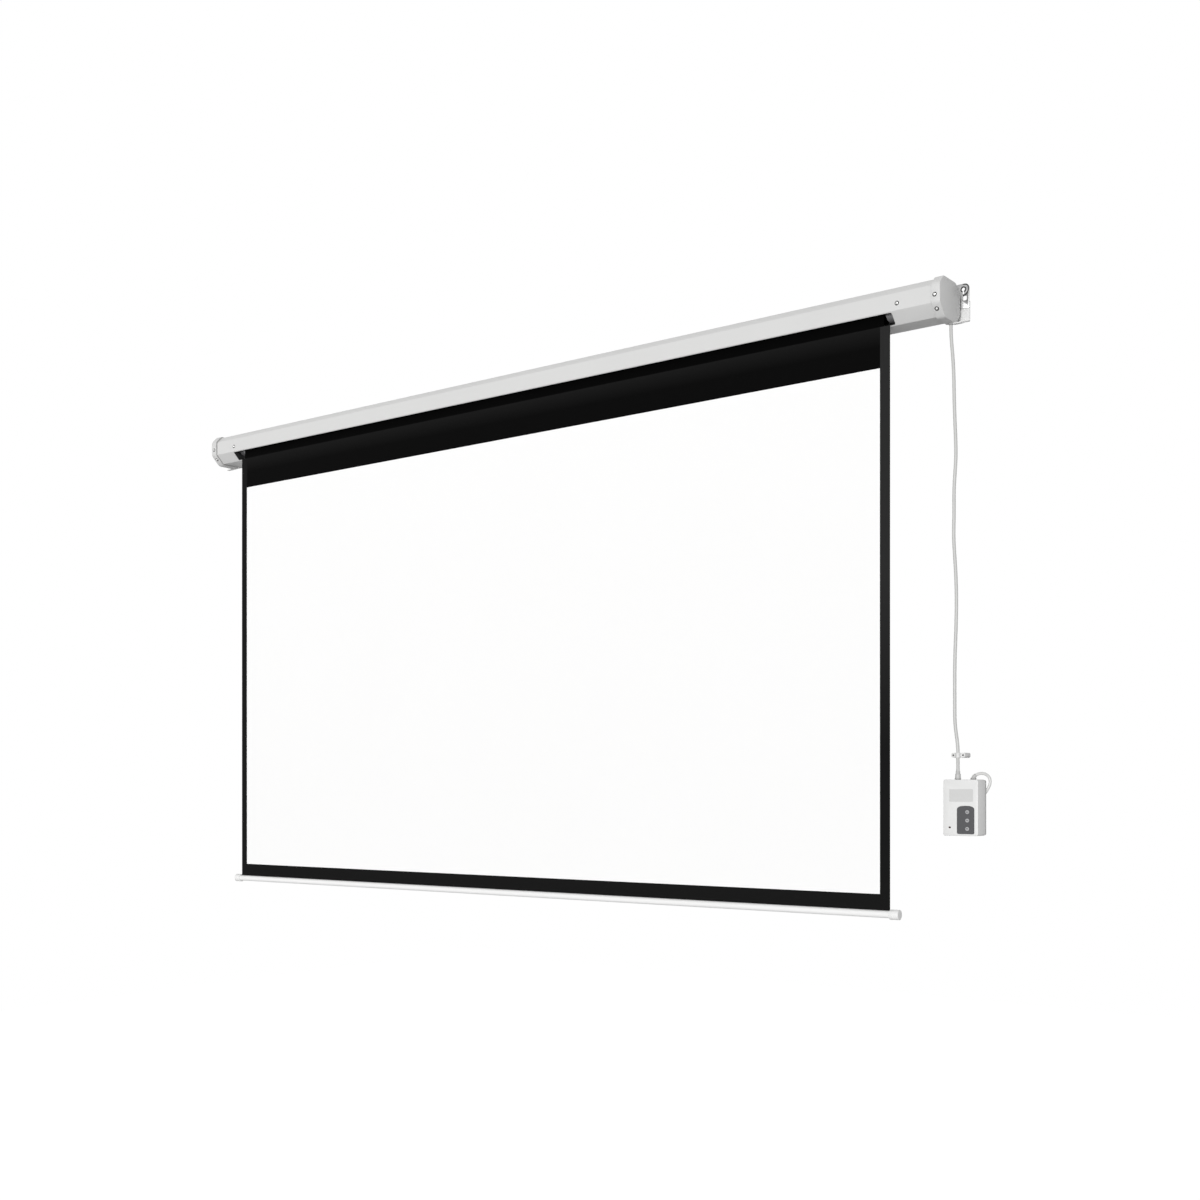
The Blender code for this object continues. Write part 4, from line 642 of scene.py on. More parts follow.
class Finish(Enum):
    """Every finish on the object."""

    CASE_ENAMEL = Enamel("case_enamel", (0.708, 0.708, 0.702))
    BRACKET_ENAMEL = Enamel("bracket_enamel", (0.80, 0.80, 0.795), peel=520.0)
    BAR_ENAMEL = Enamel("bar_enamel", (0.95, 0.95, 0.945), roughness=0.36, peel_depth=0.00002)
    CAP_MOULDING = Moulding("cap_moulding", (0.70, 0.70, 0.695))
    BAR_CAP_MOULDING = Moulding("bar_cap_moulding", (0.93, 0.93, 0.925), roughness=0.36)
    BOX_MOULDING = Moulding("box_moulding", (0.82, 0.82, 0.815), roughness=0.40)
    LABEL_MOULDING = Moulding("label_moulding", (0.665, 0.665, 0.66), roughness=0.55, grain=700.0)
    COLLAR_MOULDING = Moulding("collar_moulding", (0.24, 0.24, 0.245), roughness=0.42)
    BACK_MOULDING = Moulding("back_moulding", (0.62, 0.62, 0.615))
    GLAND_MOULDING = Moulding("gland_moulding", (0.54, 0.54, 0.535), roughness=0.36)
    CLIP_MOULDING = Moulding("clip_moulding", (0.76, 0.76, 0.755), roughness=0.4)
    BLACK_MOULDING = Moulding("black_moulding", (0.022, 0.022, 0.024), roughness=0.5)
    PLUG_MOULDING = Moulding("idler_moulding", (0.13, 0.13, 0.135), roughness=0.5)
    # Paints the shadow line round the case at the caps' edges
    SEAL_MOULDING = Moulding("seal_moulding", (0.34, 0.34, 0.335), roughness=0.5)
    WHITE_MOULDING = Moulding("white_moulding", (0.74, 0.74, 0.73))
    KEYPAD_RUBBER = Moulding("keypad_rubber", (0.088, 0.088, 0.093), roughness=0.6, grain=900.0)
    KEY_RUBBER = Moulding("key_rubber", (0.43, 0.43, 0.44), roughness=0.5)
    KEY_MARK = Moulding("key_mark", (0.09, 0.09, 0.10), roughness=0.5)
    RELAY_SHELL = Moulding("relay_shell", (0.05, 0.13, 0.36), roughness=0.35)
    LENS = Moulding("lens_plastic", (0.035, 0.006, 0.005), roughness=0.18, grain_depth=0.000004)
    EYE_ZINC = Plated("eye_zinc", (0.40, 0.40, 0.40), roughness=0.38, drawn=(600.0, 600.0, 12.0))
    # Near black: paints the shade at the eyes' holes and along their edges
    BEAD_STEEL = Plated("bead_steel", (0.035, 0.035, 0.037), roughness=0.5, metallic=0.6)
    SCREW_ZINC = Plated("screw_zinc", (0.86, 0.86, 0.85), roughness=0.26, drawn=(500.0, 500.0, 500.0))
    # Dark steel: the clip's nail heads, and the washers that paint the shaded ring round the screw heads
    WASHER_STEEL = Plated("washer_steel", (0.03, 0.03, 0.03), 0.5, (500.0, 500.0, 500.0), metallic=0.5)
    GALVANISED = Plated("galvanised_steel", (0.46, 0.47, 0.47), roughness=0.38, cells=130.0)
    TURNED_STEEL = Plated("turned_steel", (0.52, 0.52, 0.53), roughness=0.28, drawn=(1600.0, 12.0, 12.0))
    DRAWN_ALUMINIUM = Plated("drawn_aluminium", (0.80, 0.80, 0.81), roughness=0.34)
    PLUG_PINS = Plated("nickel_pins", (0.66, 0.63, 0.56), roughness=0.22, drawn=(8.0, 1100.0, 1100.0))
    COPPER = Winding("copper_winding", (0.62, 0.30, 0.14))
    BOARD = Laminate("board_laminate", (0.018, 0.11, 0.045), (0.05, 0.20, 0.08))
    BACKING = Blackout("black_backing", 0.0014, specular=0.03)
    STRAP = Weave("strap_loops", 0.02, pitch=0.0012, depth=0.0002)
    VIEWING = Matte("viewing_surface", (0.995, 0.995, 0.991))
    # The motor cord's grey is lowered below the mains cord's to paint the shade along its side
    MOTOR_CORD = Jacket("motor_cord_jacket", (0.61, 0.61, 0.60))
    MAINS_CORD = Jacket("mains_cord_jacket", (0.73, 0.73, 0.72))

    def material(self) -> bpy.types.Material:
        """This finish's material, made on its first use."""
        return bpy.data.materials.get(self.value.name) or self.value.material()


# Modelling


class Axis(Enum):
    """A direction of the frame."""

    X = (1.0, 0.0, 0.0)
    Y = (0.0, 1.0, 0.0)
    Z = (0.0, 0.0, 1.0)

    def point(self, along: float, out: float, centre: Point) -> Point:
        """A point beside the axis.

        Args:
            along: Its place along the axis.
            out: Its distance from the axis.
            centre: A point of the axis.

        Returns:
            The point.
        """
        index = "XYZ".index(self.name)
        place = list(centre)
        place[index] = along
        place[(index + 1) % 3] += out
        return tuple(place)


class Element(Enum):
    """What an edit-mode operator acts on."""

    VERTS = ("verts", (True, False, False))
    EDGES = ("edges", (False, True, False))
    FACES = ("faces", (False, False, True))


def only(obj: bpy.types.Object) -> None:
    """Selects one object and nothing else.

    Args:
        obj: The object.
    """
    bpy.ops.object.select_all(action="DESELECT")
    obj.select_set(True)
    bpy.context.view_layer.objects.active = obj


@contextmanager
def editing(obj: bpy.types.Object) -> Iterator[None]:
    """Edit mode on one object, with all of its mesh selected at first.

    Args:
        obj: The object.

    Yields:
        Nothing: edit mode lasts as long as the block.
    """
    only(obj)
    bpy.ops.object.mode_set(mode="EDIT")
    bpy.ops.mesh.select_all(action="SELECT")
    yield
    bpy.ops.object.mode_set(mode="OBJECT")


def pick(obj: bpy.types.Object, element: Element, test: Callable[[Vector, Vector], bool]) -> None:
    """Selects by place and normal, in edit mode.

    Args:
        obj: The object in edit mode.
        element: Whether vertices, edges or faces are picked.
        test: Told an element's middle and its normal, says whether it is wanted.
    """
    attribute, mode = element.value
    bpy.context.tool_settings.mesh_select_mode = mode
    bpy.ops.mesh.select_all(action="DESELECT")
    mesh = bmesh.from_edit_mesh(obj.data)
    for item in getattr(mesh, attribute):
        if element is Element.VERTS:
            middle, normal = item.co, item.normal
        elif element is Element.EDGES:
            middle = (item.verts[0].co + item.verts[1].co) / 2
            normal = item.verts[1].co - item.verts[0].co
        else:
            middle, normal = item.calc_center_median(), item.normal
        item.select_set(test(middle, normal))
    mesh.select_flush_mode()
    bmesh.update_edit_mesh(obj.data)


def adopt(name: str) -> bpy.types.Object:
    """Names the new primitive and puts its place in its mesh.

    Args:
        name: The piece's name.

    Returns:
        The primitive.
    """
    obj = bpy.context.object
    obj.name = obj.data.name = name
    bpy.ops.object.transform_apply(location=True, rotation=True, scale=True)
    return obj


def block(name: str, low: Point, high: Point) -> bpy.types.Object:
    """A box between two corners, to be shaped further.

    Args:
        name: The piece's name.
        low: The corner with the least coordinates.
        high: The corner with the largest.

    Returns:
        The box.
    """
    bpy.ops.object.select_all(action="DESELECT")
    bpy.ops.mesh.primitive_cube_add(size=1.0, location=[(a + b) / 2 for a, b in zip(low, high)])
    bpy.context.object.scale = [b - a for a, b in zip(low, high)]
    return adopt(name)


def wire(name: str, points: Sequence[Point], closed: bool = False) -> bpy.types.Object:
    """A line of edges through points, to be spun or extruded.

    Args:
        name: The piece's name.
        points: The points.
        closed: Whether the last point joins the first.

    Returns:
        The line.
    """
    edges = [(i, i + 1) for i in range(len(points) - 1)]
    mesh = bpy.data.meshes.new(name)
    mesh.from_pydata([tuple(p) for p in points], edges + ([(len(points) - 1, 0)] if closed else []), [])
    obj = bpy.data.objects.new(name, mesh)
    bpy.context.scene.collection.objects.link(obj)
    return obj


def tidy_mesh() -> None:
    """Merges doubles and turns every face outwards, in edit mode."""
    bpy.ops.mesh.select_all(action="SELECT")
    bpy.ops.mesh.remove_doubles(threshold=MERGE / 2)
    bpy.ops.mesh.normals_make_consistent(inside=False)


def lathe(name: str, profile: Sequence[Pair], centre: Point, axis: Axis, steps: int) -> bpy.types.Object:
    """A profile spun about an axis.

    Args:
        name: The piece's name.
        profile: Places along the axis and distances from it. A distance of 0 closes the shape.
        centre: A point of the axis.
        axis: The axis's direction.
        steps: Faces round the axis.

    Returns:
        The spun piece.
    """
    closed = not (profile[0][1] == 0 or profile[-1][1] == 0)
    obj = wire(name, [axis.point(along, out, centre) for along, out in profile], closed)
    with editing(obj):
        bpy.ops.mesh.spin(steps=steps, angle=math.tau, center=centre, axis=axis.value)
        tidy_mesh()
    return obj


def pushed(name: str, outline: Sequence[Point], by: Point) -> bpy.types.Object:
    """A closed outline filled and pushed into a solid.

    Args:
        name: The piece's name.
        outline: The outline's points.
        by: How far it is pushed.

    Returns:
        The solid.
    """
    obj = wire(name, outline, closed=True)
    with editing(obj):
        bpy.ops.mesh.edge_face_add()
        bpy.ops.mesh.extrude_region_move(TRANSFORM_OT_translate={"value": by})
        tidy_mesh()
    return obj


def copied(name: str, node: str) -> bpy.types.Object:
    """A CAD node's shape as a clean mesh: merged, with its flat faces made whole again.

    Args:
        name: The piece's name.
        node: The CAD node.

    Returns:
        The copy, which is ready to be refined.
    """
    source = bpy.data.objects[node]
    obj = bpy.data.objects.new(name, source.data.copy())
    obj.data.name = name
    bpy.context.scene.collection.objects.link(obj)
    with editing(obj):
        bpy.ops.mesh.customdata_custom_splitnormals_clear()
        bpy.ops.mesh.remove_doubles(threshold=MERGE)
        bpy.ops.mesh.dissolve_limited(angle_limit=math.radians(FLAT))
    obj.data.materials.clear()
    return obj


def apply_modifier(obj: bpy.types.Object, kind: str, **settings: object) -> None:
    """Adds a modifier with its settings and applies it.

    Args:
        obj: The piece.
        kind: The modifier's type.
        settings: What is set on it.
    """
    only(obj)
    modifier = obj.modifiers.new(kind.title(), kind)
    for key, value in settings.items():
        setattr(modifier, key, value)
    bpy.ops.object.modifier_apply(modifier=modifier.name)


def rounded_edges(obj: bpy.types.Object, width: float, segments: int = 2, angle: float = 35.0) -> None:
    """Rounds every crease sharper than an angle, in degrees."""
    limit = math.radians(angle)
    apply_modifier(obj, "BEVEL", width=width, segments=segments, limit_method="ANGLE", angle_limit=limit)


def smooth(obj: bpy.types.Object, angle: float = CREASE) -> None:
    """Smooth shading except across creases."""
    only(obj)
    bpy.ops.object.shade_smooth_by_angle(angle=math.radians(angle))


def dress(obj: bpy.types.Object, finish: Finish) -> bpy.types.Object:
    """Gives a piece its one finish.

    Args:
        obj: The piece.
        finish: The finish.

    Returns:
        The piece.
    """
    obj.data.materials.clear()
    obj.data.materials.append(finish.material())
    return obj


def settle(obj: bpy.types.Object, body: str, replaces: Sequence[str] = ()) -> None:
    """Puts a finished piece on its body.

    Args:
        obj: The piece.
        body: The CAD body that it moves with.
        replaces: The CAD nodes that it stands for.
    """
    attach(obj, body)
    if replaces:
        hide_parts(*replaces)
    LOG.info("%s rides on %s", obj.name, body)


def redress(node: str, finish: Finish) -> None:
    """Gives a CAD node that stays in view its finish and soft shading.

    Args:
        node: The node.
        finish: The finish.
    """
    obj = bpy.data.objects[node]
    dress(obj, finish)
    only(obj)
    bpy.ops.object.shade_smooth()
    weld = obj.modifiers.new("Weld", "WELD")
    weld.merge_threshold = MERGE / 2
    split = obj.modifiers.new("Creases", "EDGE_SPLIT")
    split.split_angle = math.radians(CREASE)


def through(route: Sequence[Point], spacing: float) -> list[Point]:
    """Even points along a natural cubic spline through a route.

    Args:
        route: The points that the line passes through.
        spacing: The distance between the points that are wanted.

    Returns:
        The points.
    """
    knots_at = np.array(route, float)
    chord = np.linalg.norm(np.diff(knots_at, axis=0), axis=1)
    knots = np.concatenate([[0], np.cumsum(chord)])
    count = len(knots_at)
    matrix, right = np.eye(count), np.zeros((count, 3))
    for i in range(1, count - 1):
        matrix[i, i - 1 : i + 2] = chord[i - 1], 2 * (chord[i - 1] + chord[i]), chord[i]
        slopes = np.diff(knots_at[i - 1 : i + 2], axis=0) / chord[i - 1 : i + 1, None]
        right[i] = 6 * (slopes[1] - slopes[0])
    second = np.linalg.solve(matrix, right)
    fine = []
    for s in np.linspace(0, knots[-1], FINENESS * count):
        i = int(min(max(np.searchsorted(knots, s) - 1, 0), count - 2))
        h, a, b = chord[i], knots[i + 1] - s, s - knots[i]
        bend = (second[i] * (a**3 / h - h * a) + second[i + 1] * (b**3 / h - h * b)) / 6
        fine.append(knots_at[i] * a / h + knots_at[i + 1] * b / h + bend)
    fine = np.array(fine)
    run = np.concatenate([[0], np.cumsum(np.linalg.norm(np.diff(fine, axis=0), axis=1))])
    wanted = np.linspace(0, run[-1], max(2, round(run[-1] / spacing)) + 1)
    return [tuple(float(np.interp(s, run, fine[:, k])) for k in range(3)) for s in wanted]


def run_of(points: Sequence[Point]) -> float:
    """The length of a line of points."""
    return float(np.linalg.norm(np.diff(np.array(points), axis=0), axis=1).sum())


def cord_piece(name: str, points: Sequence[Point], diameter: float, finish: Finish) -> bpy.types.Object:
    """A cord as one bevelled curve along points.

    Args:
        name: The piece's name.
        points: The points of its middle line.
        diameter: Its diameter.
        finish: Its finish.

    Returns:
        The cord.
    """
    curve = bpy.data.curves.new(name, "CURVE")
    curve.dimensions = "3D"
    curve.bevel_depth = diameter / 2
    curve.bevel_resolution = 6
    curve.use_fill_caps = True
    spline = curve.splines.new("POLY")
    spline.points.add(len(points) - 1)
    for knot, place in zip(spline.points, points):
        knot.co = (*place, 1)
    spline.use_smooth = True
    curve.materials.append(finish.material())
    obj = bpy.data.objects.new(name, curve)
    bpy.context.scene.collection.objects.link(obj)
    return obj


# The object


@dataclass
class Studio:
    """The camera where the photograph was taken from, soft light and a pale floor."""

    # The camera's place and turn, its lens and sensor in millimetres, its shift upwards and how far it sees
    camera_place: Point = (2.6456, -3.1736, -1.0879)
    camera_turn: float = 37.352
    lens: float = 44.53
    sensor: float = 36.0
    rise: float = 0.15635
    sight: float = 60.0
    floor_height: float = -2.25
    floor_size: float = 9.0
    ambient: float = 0.392
    key_strength: float = 2.12
    key_direction: Point = (0.26, -0.95, -0.07)
    key_angle: float = 14.0
    floor_grey: float = 0.60
    floor_roughness: float = 0.95
    floor_glow: float = 0.80

    def build(self) -> None:
        """Sets up the camera, the lamps, the world and the floor."""
        scene = bpy.context.scene
        scene.view_settings.view_transform = "Standard"
        lens = bpy.data.cameras.new("camera")
        lens.lens, lens.sensor_width, lens.shift_y = self.lens, self.sensor, self.rise
        lens.clip_end = self.sight
        camera = bpy.data.objects.new("camera", lens)
        camera.location = self.camera_place
        camera.rotation_euler = (math.pi / 2, 0, math.radians(self.camera_turn))
        scene.collection.objects.link(camera)
        scene.camera = camera
        lamp = bpy.data.lights.new("key", "SUN")
        lamp.energy, lamp.angle = self.key_strength, math.radians(self.key_angle)
        key = bpy.data.objects.new("key", lamp)
        key.rotation_euler = Vector(self.key_direction).to_track_quat("Z", "Y").to_euler()
        scene.collection.objects.link(key)
        self._world(scene)
        self._floor()

    def _world(self, scene: bpy.types.Scene) -> None:
        """A plain level on the object, and white behind it and in its reflections.

        Args:
            scene: The scene that is lit.
        """
        world = bpy.data.worlds.new("studio")
        world.use_nodes = True
        tree = Tree(world.node_tree)
        seen = tree.node("ShaderNodeLightPath", output="Is Camera Ray")
        rays = seen.socket.node.outputs
        for name in ("Is Glossy Ray", "Is Transmission Ray"):
            seen = seen.maths("MAXIMUM", seen, Signal(tree, rays[name]))
        values = {"Value": seen, "To Min": self.ambient, "To Max": 1.0}
        level = tree.node("ShaderNodeMapRange", values=values, output="Result")
        background = world.node_tree.nodes["Background"]
        world.node_tree.links.new(level.socket, background.inputs["Strength"])
        background.inputs["Color"].default_value = (1, 1, 1, 1)
        scene.world = world

    def _floor(self) -> None:
        """A pale floor that keeps the object's shadow, white to the camera."""
        bpy.ops.object.select_all(action="DESELECT")
        bpy.ops.mesh.primitive_plane_add(size=self.floor_size, location=(0, 0, self.floor_height))
        floor = adopt("studio_floor")
        graph = Graph("studio_floor")
        inputs = graph.shader.inputs
        inputs["Base Color"].default_value = (self.floor_grey, self.floor_grey, self.floor_grey, 1)
        inputs["Roughness"].default_value = self.floor_roughness
        inputs["Specular IOR Level"].default_value = 0.0
        lift = graph.node("ShaderNodeLightPath", output="Is Camera Ray") * self.floor_glow
        glow = graph.node("ShaderNodeEmission", values={"Strength": lift})
        both = graph.node("ShaderNodeAddShader", values={0: Signal(graph, graph.shader.outputs[0]), 1: glow})
        graph.tree.links.new(both.socket, graph.tree.nodes["Material Output"].inputs["Surface"])
        floor.data.materials.append(graph.material)


@dataclass
class Case:
    """The steel case with its end caps, its screws and what holds it on the wall."""

    # A screw head's height, and how deep the corners of its face lie
    head_height: float = 0.0016
    head_face: float = 0.0005
    washer_radius: float = 0.0052
    washer_hole: float = 0.0020
    washer_thickness: float = 0.00028
    # A washer's chamfer: how far in, and how far down as a share of its thickness
    washer_chamfer: float = 0.0002
    washer_drop: float = 0.3
    washer_steps: int = 32
    # The slot's ends, and what tells its short corner edges from the others
    slot_ends: Pair = (-1.158, 1.139)
    slot_rounding: float = 0.0035
    slot_corner: float = 0.004
    slot_below: float = -0.01
    cap_start: float = 1.2375
    # The dark strip that paints the shadow at a cap's edge: its width, its height and its gap to the cap
    shadow_band_width: float = 0.0014
    shadow_band_height: float = 0.0011
    shadow_band_gap: float = 0.00005
    plate_rounding: float = 0.0004
    eye_centre: Pair = (1.2614, 0.0394)
    eye_front: float = -0.0053
    bead_spacing: float = 0.0008
    # The eye's rim: its reach and thickness, the turn that it starts at, its sweep and its points
    rim_reach: float = 0.0054
    rim_radius: float = 0.0014
    rim_start: float = -70.0
    rim_sweep: float = 320.0
    rim_points: int = 24
    lip_radius: float = 0.0018
    lip_thin_end: float = 0.5
    # Points of the eye's lip from its hole: outwards and up
    lip: tuple[Pair, ...] = (
        (-0.0010, 0.0112),
        (0.0032, 0.0111),
        (0.0078, 0.0098),
        (0.0111, 0.0065),
        (0.0124, 0.0019),
        (0.0121, -0.0030),
        (0.0104, -0.0075),
        (0.0076, -0.0105),
        (0.0040, -0.0126),
        (-0.0005, -0.0136),
    )
    screws: tuple[str, ...] = (
        "cap_screw_left_upper",
        "cap_screw_left_lower",
        "cap_screw_right_upper",
        "cap_screw_right_lower",
        "case_screw_left",
        "case_screw_right",
    )

    def build(self) -> None:
        """Models the case's pieces."""
        shell = copied("steel_case", "case_shell")
        with editing(shell):
            pick(
                shell,
                Element.EDGES,
                lambda middle, along: along.length < self.slot_corner
                and min(abs(middle.x - end) for end in self.slot_ends) < NEAR
                and middle.z < self.slot_below,
            )
            bpy.ops.mesh.bevel(offset=self.slot_rounding, segments=4)
        smooth(shell, angle=24)
        settle(dress(shell, Finish.CASE_ENAMEL), "case", ["case_shell"])
        for side in ("left", "right"):
            cap = copied(f"moulded_cap_{side}", f"end_cap_{side}")
            smooth(cap, angle=40)
            settle(dress(cap, Finish.CAP_MOULDING), "case", [f"end_cap_{side}"])
            self._cap_shadow(side)
            self._mount(side)
        for node in self.screws:
            self._screw(node)
        grommet = copied("rubber_grommet", "cord_grommet")
        smooth(grommet)
        settle(dress(grommet, Finish.GLAND_MOULDING), "case", ["cord_grommet"])

    def _cap_shadow(self, side: str) -> None:
        """A dark strip round the case at a cap's edge that paints the shadow of the cap's step.

        Args:
            side: Which end.
        """
        sign = 1.0 if side == "right" else -1.0
        shadow_band = copied(f"cap_seal_{side}", "case_shell")
        ends = ((self.cap_start - self.shadow_band_width, True), (self.cap_start - self.shadow_band_gap, False))
        with editing(shadow_band):
            for place, inner in ends:
                bpy.ops.mesh.select_all(action="SELECT")
                bpy.ops.mesh.bisect(
                    plane_co=(sign * place, 0, 0),
                    plane_no=(sign, 0, 0),
                    use_fill=False,
                    clear_inner=inner,
                    clear_outer=not inner,
                )
            bpy.ops.mesh.select_all(action="SELECT")
            bpy.ops.mesh.separate(type="LOOSE")
        rings = [obj for obj in bpy.context.selected_objects if obj.type == "MESH"]
        rings.sort(key=lambda obj: obj.dimensions.y)
        for spare in rings[:-1]:
            bpy.data.objects.remove(spare)
        shadow_band = rings[-1]
        shadow_band.name = shadow_band.data.name = f"cap_seal_{side}"
        apply_modifier(shadow_band, "SOLIDIFY", thickness=self.shadow_band_height, offset=1.0)
        smooth(shadow_band, angle=24)
        settle(dress(shadow_band, Finish.SEAL_MOULDING), "case")

    def _mount(self, side: str) -> None:
        """The white bracket and the zinc eye at one end.

        Args:
            side: Which end.
        """
        bracket = copied(f"bracket_plate_{side}", f"wall_bracket_{side}")
        rounded_edges(bracket, self.plate_rounding)
        smooth(bracket)
        settle(dress(bracket, Finish.BRACKET_ENAMEL), "case", [f"wall_bracket_{side}"])
        eye = copied(f"eye_plate_{side}", f"hanging_eye_{side}")
        rounded_edges(eye, self.plate_rounding)
        smooth(eye)
        settle(dress(eye, Finish.EYE_ZINC), "case", [f"hanging_eye_{side}"])
        self._beads(side)

    def _beads(self, side: str) -> None:
        """The rim of an eye's hole and the lip that runs along its edge and in under the hole, dark to paint
        the shade there.

        Args:
            side: Which end.
        """
        sign = 1.0 if side == "right" else -1.0
        count = self.rim_points
        turns = [math.radians(self.rim_start + self.rim_sweep * k / count) for k in range(count + 1)]
        rim = [(self.rim_reach * math.cos(turn), self.rim_reach * math.sin(turn)) for turn in turns]
        across, up = self.eye_centre
        for name, path, thin, thick in (
            ("rim", rim, 1.0, self.rim_radius),
            ("lip", self.lip, self.lip_thin_end, self.lip_radius),
        ):
            route = [(sign * (across + x), self.eye_front, up + z) for x, z in path]
            line = through(route, self.bead_spacing)
            bead = cord_piece(f"eye_{name}_{side}", line, 2 * thick, Finish.BEAD_STEEL)
            for k, knot in enumerate(bead.data.splines[0].points):
                knot.radius = thin + (1.0 - thin) * k / (len(line) - 1)
            only(bead)
            bpy.ops.object.convert(target="MESH")
            bead.data.name = bead.name
            smooth(bead, angle=50)
            settle(dress(bead, Finish.BEAD_STEEL), "case")

    def _screw(self, node: str) -> None:
        """A screw's head, and a dark washer under it that paints the shaded ring round the head.

        Args:
            node: The screw's CAD node.
        """
        head = copied(f"{node}_head", node)
        smooth(head, angle=40)
        settle(dress(head, Finish.SCREW_ZINC), "case", [node])
        points = [v.co.copy() for v in head.data.vertices]
        outwards = Vector((0, -1, -1 if node.endswith("lower") else 0)).normalized()
        top = max(p.dot(outwards) for p in points)
        face = [p for p in points if p.dot(outwards) > top - self.head_face]
        middle = sum(face, Vector()) / len(face)
        low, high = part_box(node)
        axis_point = Vector(((low.x + high.x) / 2, middle.y, middle.z))
        seat = axis_point - outwards * (axis_point.dot(outwards) - (top - self.head_height))
        outer, inner, thick = self.washer_radius, self.washer_hole, self.washer_thickness
        edge = (0, outer - self.washer_chamfer)
        rim = (-thick * self.washer_drop, outer)
        profile = [(-thick, inner), (-thick, outer), rim, edge, (0, inner)]
        washer = lathe(f"{node}_washer", profile, (0, 0, 0), Axis.Z, self.washer_steps)
        washer.rotation_euler = outwards.to_track_quat("Z", "Y").to_euler()
        washer.location = seat
        only(washer)
        bpy.ops.object.transform_apply(location=True, rotation=True, scale=True)
        smooth(washer)
        settle(dress(washer, Finish.WASHER_STEEL), "case")


@dataclass
class Screen:
    """The cloth: what is wound on the roller, what hangs, and the hem held in the bar."""

    backing: float = 0.0005
    coating: float = 0.0003
    # The share of its height that the hanging cloth keeps when the bar is up
    kept: float = 0.0152
    # Where it leaves the case, and the height over which it grows to its full width there
    case_foot: float = -0.0415
    narrowing: float = 0.0004
    hem_gap: float = 0.00003
    grid: tuple[int, int] = (64, 40)
    # Its faint waves: their height, how far down they end, and radians to the metre
    ripple: float = 0.0003
    drop: float = 1.33
    waves: tuple[Pair, Pair] = ((7.1, 1.9), (3.3, 2.3))
    # The turns that stay wound: how many, their pitch, how far they lie inside what hangs, and their steps
    turns: int = 2
    pitch: float = 0.0007
    slack: float = 0.0007
    steps: int = 72
    # How far the hem goes round its spline, in degrees
    hem_sweep: float = 300.0
    hem_steps: int = 40
    # What the roller's collars keep free of the cloth, of the tube's end and of the tube
    cloth_gap: float = 0.0006
    end_gap: float = 0.0004
    tube_gap: float = 0.0001
    collar_steps: int = 64
    ribs: int = 4
    # Points of one rib: share of the rib's pitch, and height
    rib: tuple[Pair, ...] = ((0.0, 0.0006), (0.2, 0.0017), (0.55, 0.0017), (0.75, 0.0006))

    def build(self) -> None:
        """Models the cloth's pieces."""
        self._hanging("black_backing_sheet", "screen_fabric", Finish.BACKING, self.backing)
        self._hanging("white_viewing_sheet", "viewing_field", Finish.VIEWING, self.coating)
        self._wound()
        self._collars()
        self._hem()

    def _hanging(self, name: str, node: str, finish: Finish, thickness: float) -> None:
        """A hanging sheet with faint waves.

        Args:
            name: The piece's name.
            node: The CAD node that it stands for.
            finish: Its finish.
            thickness: The sheet's thickness.
        """
        low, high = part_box(node)
        if node == "screen_fabric":
            low.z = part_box("fabric_hem")[1].z + self.hem_gap
        width, height, middle = high.x - low.x, high.z - low.z, (low + high) / 2
        bpy.ops.object.select_all(action="DESELECT")
        columns, rows = self.grid
        bpy.ops.mesh.primitive_grid_add(
            x_subdivisions=columns,
            y_subdivisions=rows,
            size=1.0,
            location=middle,
            rotation=(math.pi / 2, 0, 0),
        )
        bpy.context.object.scale = (width, height, 1.0)
        sheet = adopt(name)
        if node == "screen_fabric":
            self._narrow(sheet)
        (long_x, long_z), (short_x, short_z) = self.waves
        for vertex in sheet.data.vertices:
            x, z = vertex.co.x, vertex.co.z
            free = max(0.0, math.sin(math.pi * min(1.0, max(0.0, -z / self.drop))))
            wave = math.sin(long_x * x + long_z * z) * math.cos(short_x * x - short_z * z)
            vertex.co.y -= self.ripple * free * (1.0 + wave)
        apply_modifier(sheet, "SOLIDIFY", thickness=thickness, offset=0.0)
        smooth(sheet)
        settle(dress(sheet, finish), "case", [node])
        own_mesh(sheet)

    def _narrow(self, sheet: bpy.types.Object) -> None:
        """Cuts the sheet to the width of the wound cloth where it is inside the case.

        Args:
            sheet: The flat sheet.
        """
        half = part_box("fabric_roll")[1].x
        cut = self.case_foot + self.narrowing
        with editing(sheet):
            for place in (self.case_foot, cut):
                bpy.ops.mesh.select_all(action="SELECT")
                bpy.ops.mesh.bisect(plane_co=(0, 0, place), plane_no=(0, 0, 1))
        for vertex in sheet.data.vertices:
            if vertex.co.z > cut - NEAR:
                vertex.co.x = max(-half, min(half, vertex.co.x))

    def _collars(self) -> None:
        """The ribbed collars that keep the cloth between them on the tube."""
        tube_low, tube_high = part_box("roller_tube")
        start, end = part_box("fabric_roll")[1].x + self.cloth_gap, tube_high.x - self.end_gap
        centre = (0.0, (tube_low.y + tube_high.y) / 2, (tube_low.z + tube_high.z) / 2)
        inner = (tube_high.z - tube_low.z) / 2 + self.tube_gap
        pitch = (end - start) / self.ribs
        for side, sign in (("left", -1.0), ("right", 1.0)):
            profile = []
            for k in range(self.ribs):
                at = start + k * pitch
                for share, height in self.rib:
                    profile.append((sign * (at + share * pitch), inner + height))
            foot = inner + self.rib[0][1]
            profile += [(sign * end, foot), (sign * end, inner), (sign * start, inner)]
            collar = lathe(f"roller_collar_{side}", profile, centre, Axis.X, self.collar_steps)
            smooth(collar, angle=30)
            settle(dress(collar, Finish.COLLAR_MOULDING), "roller")

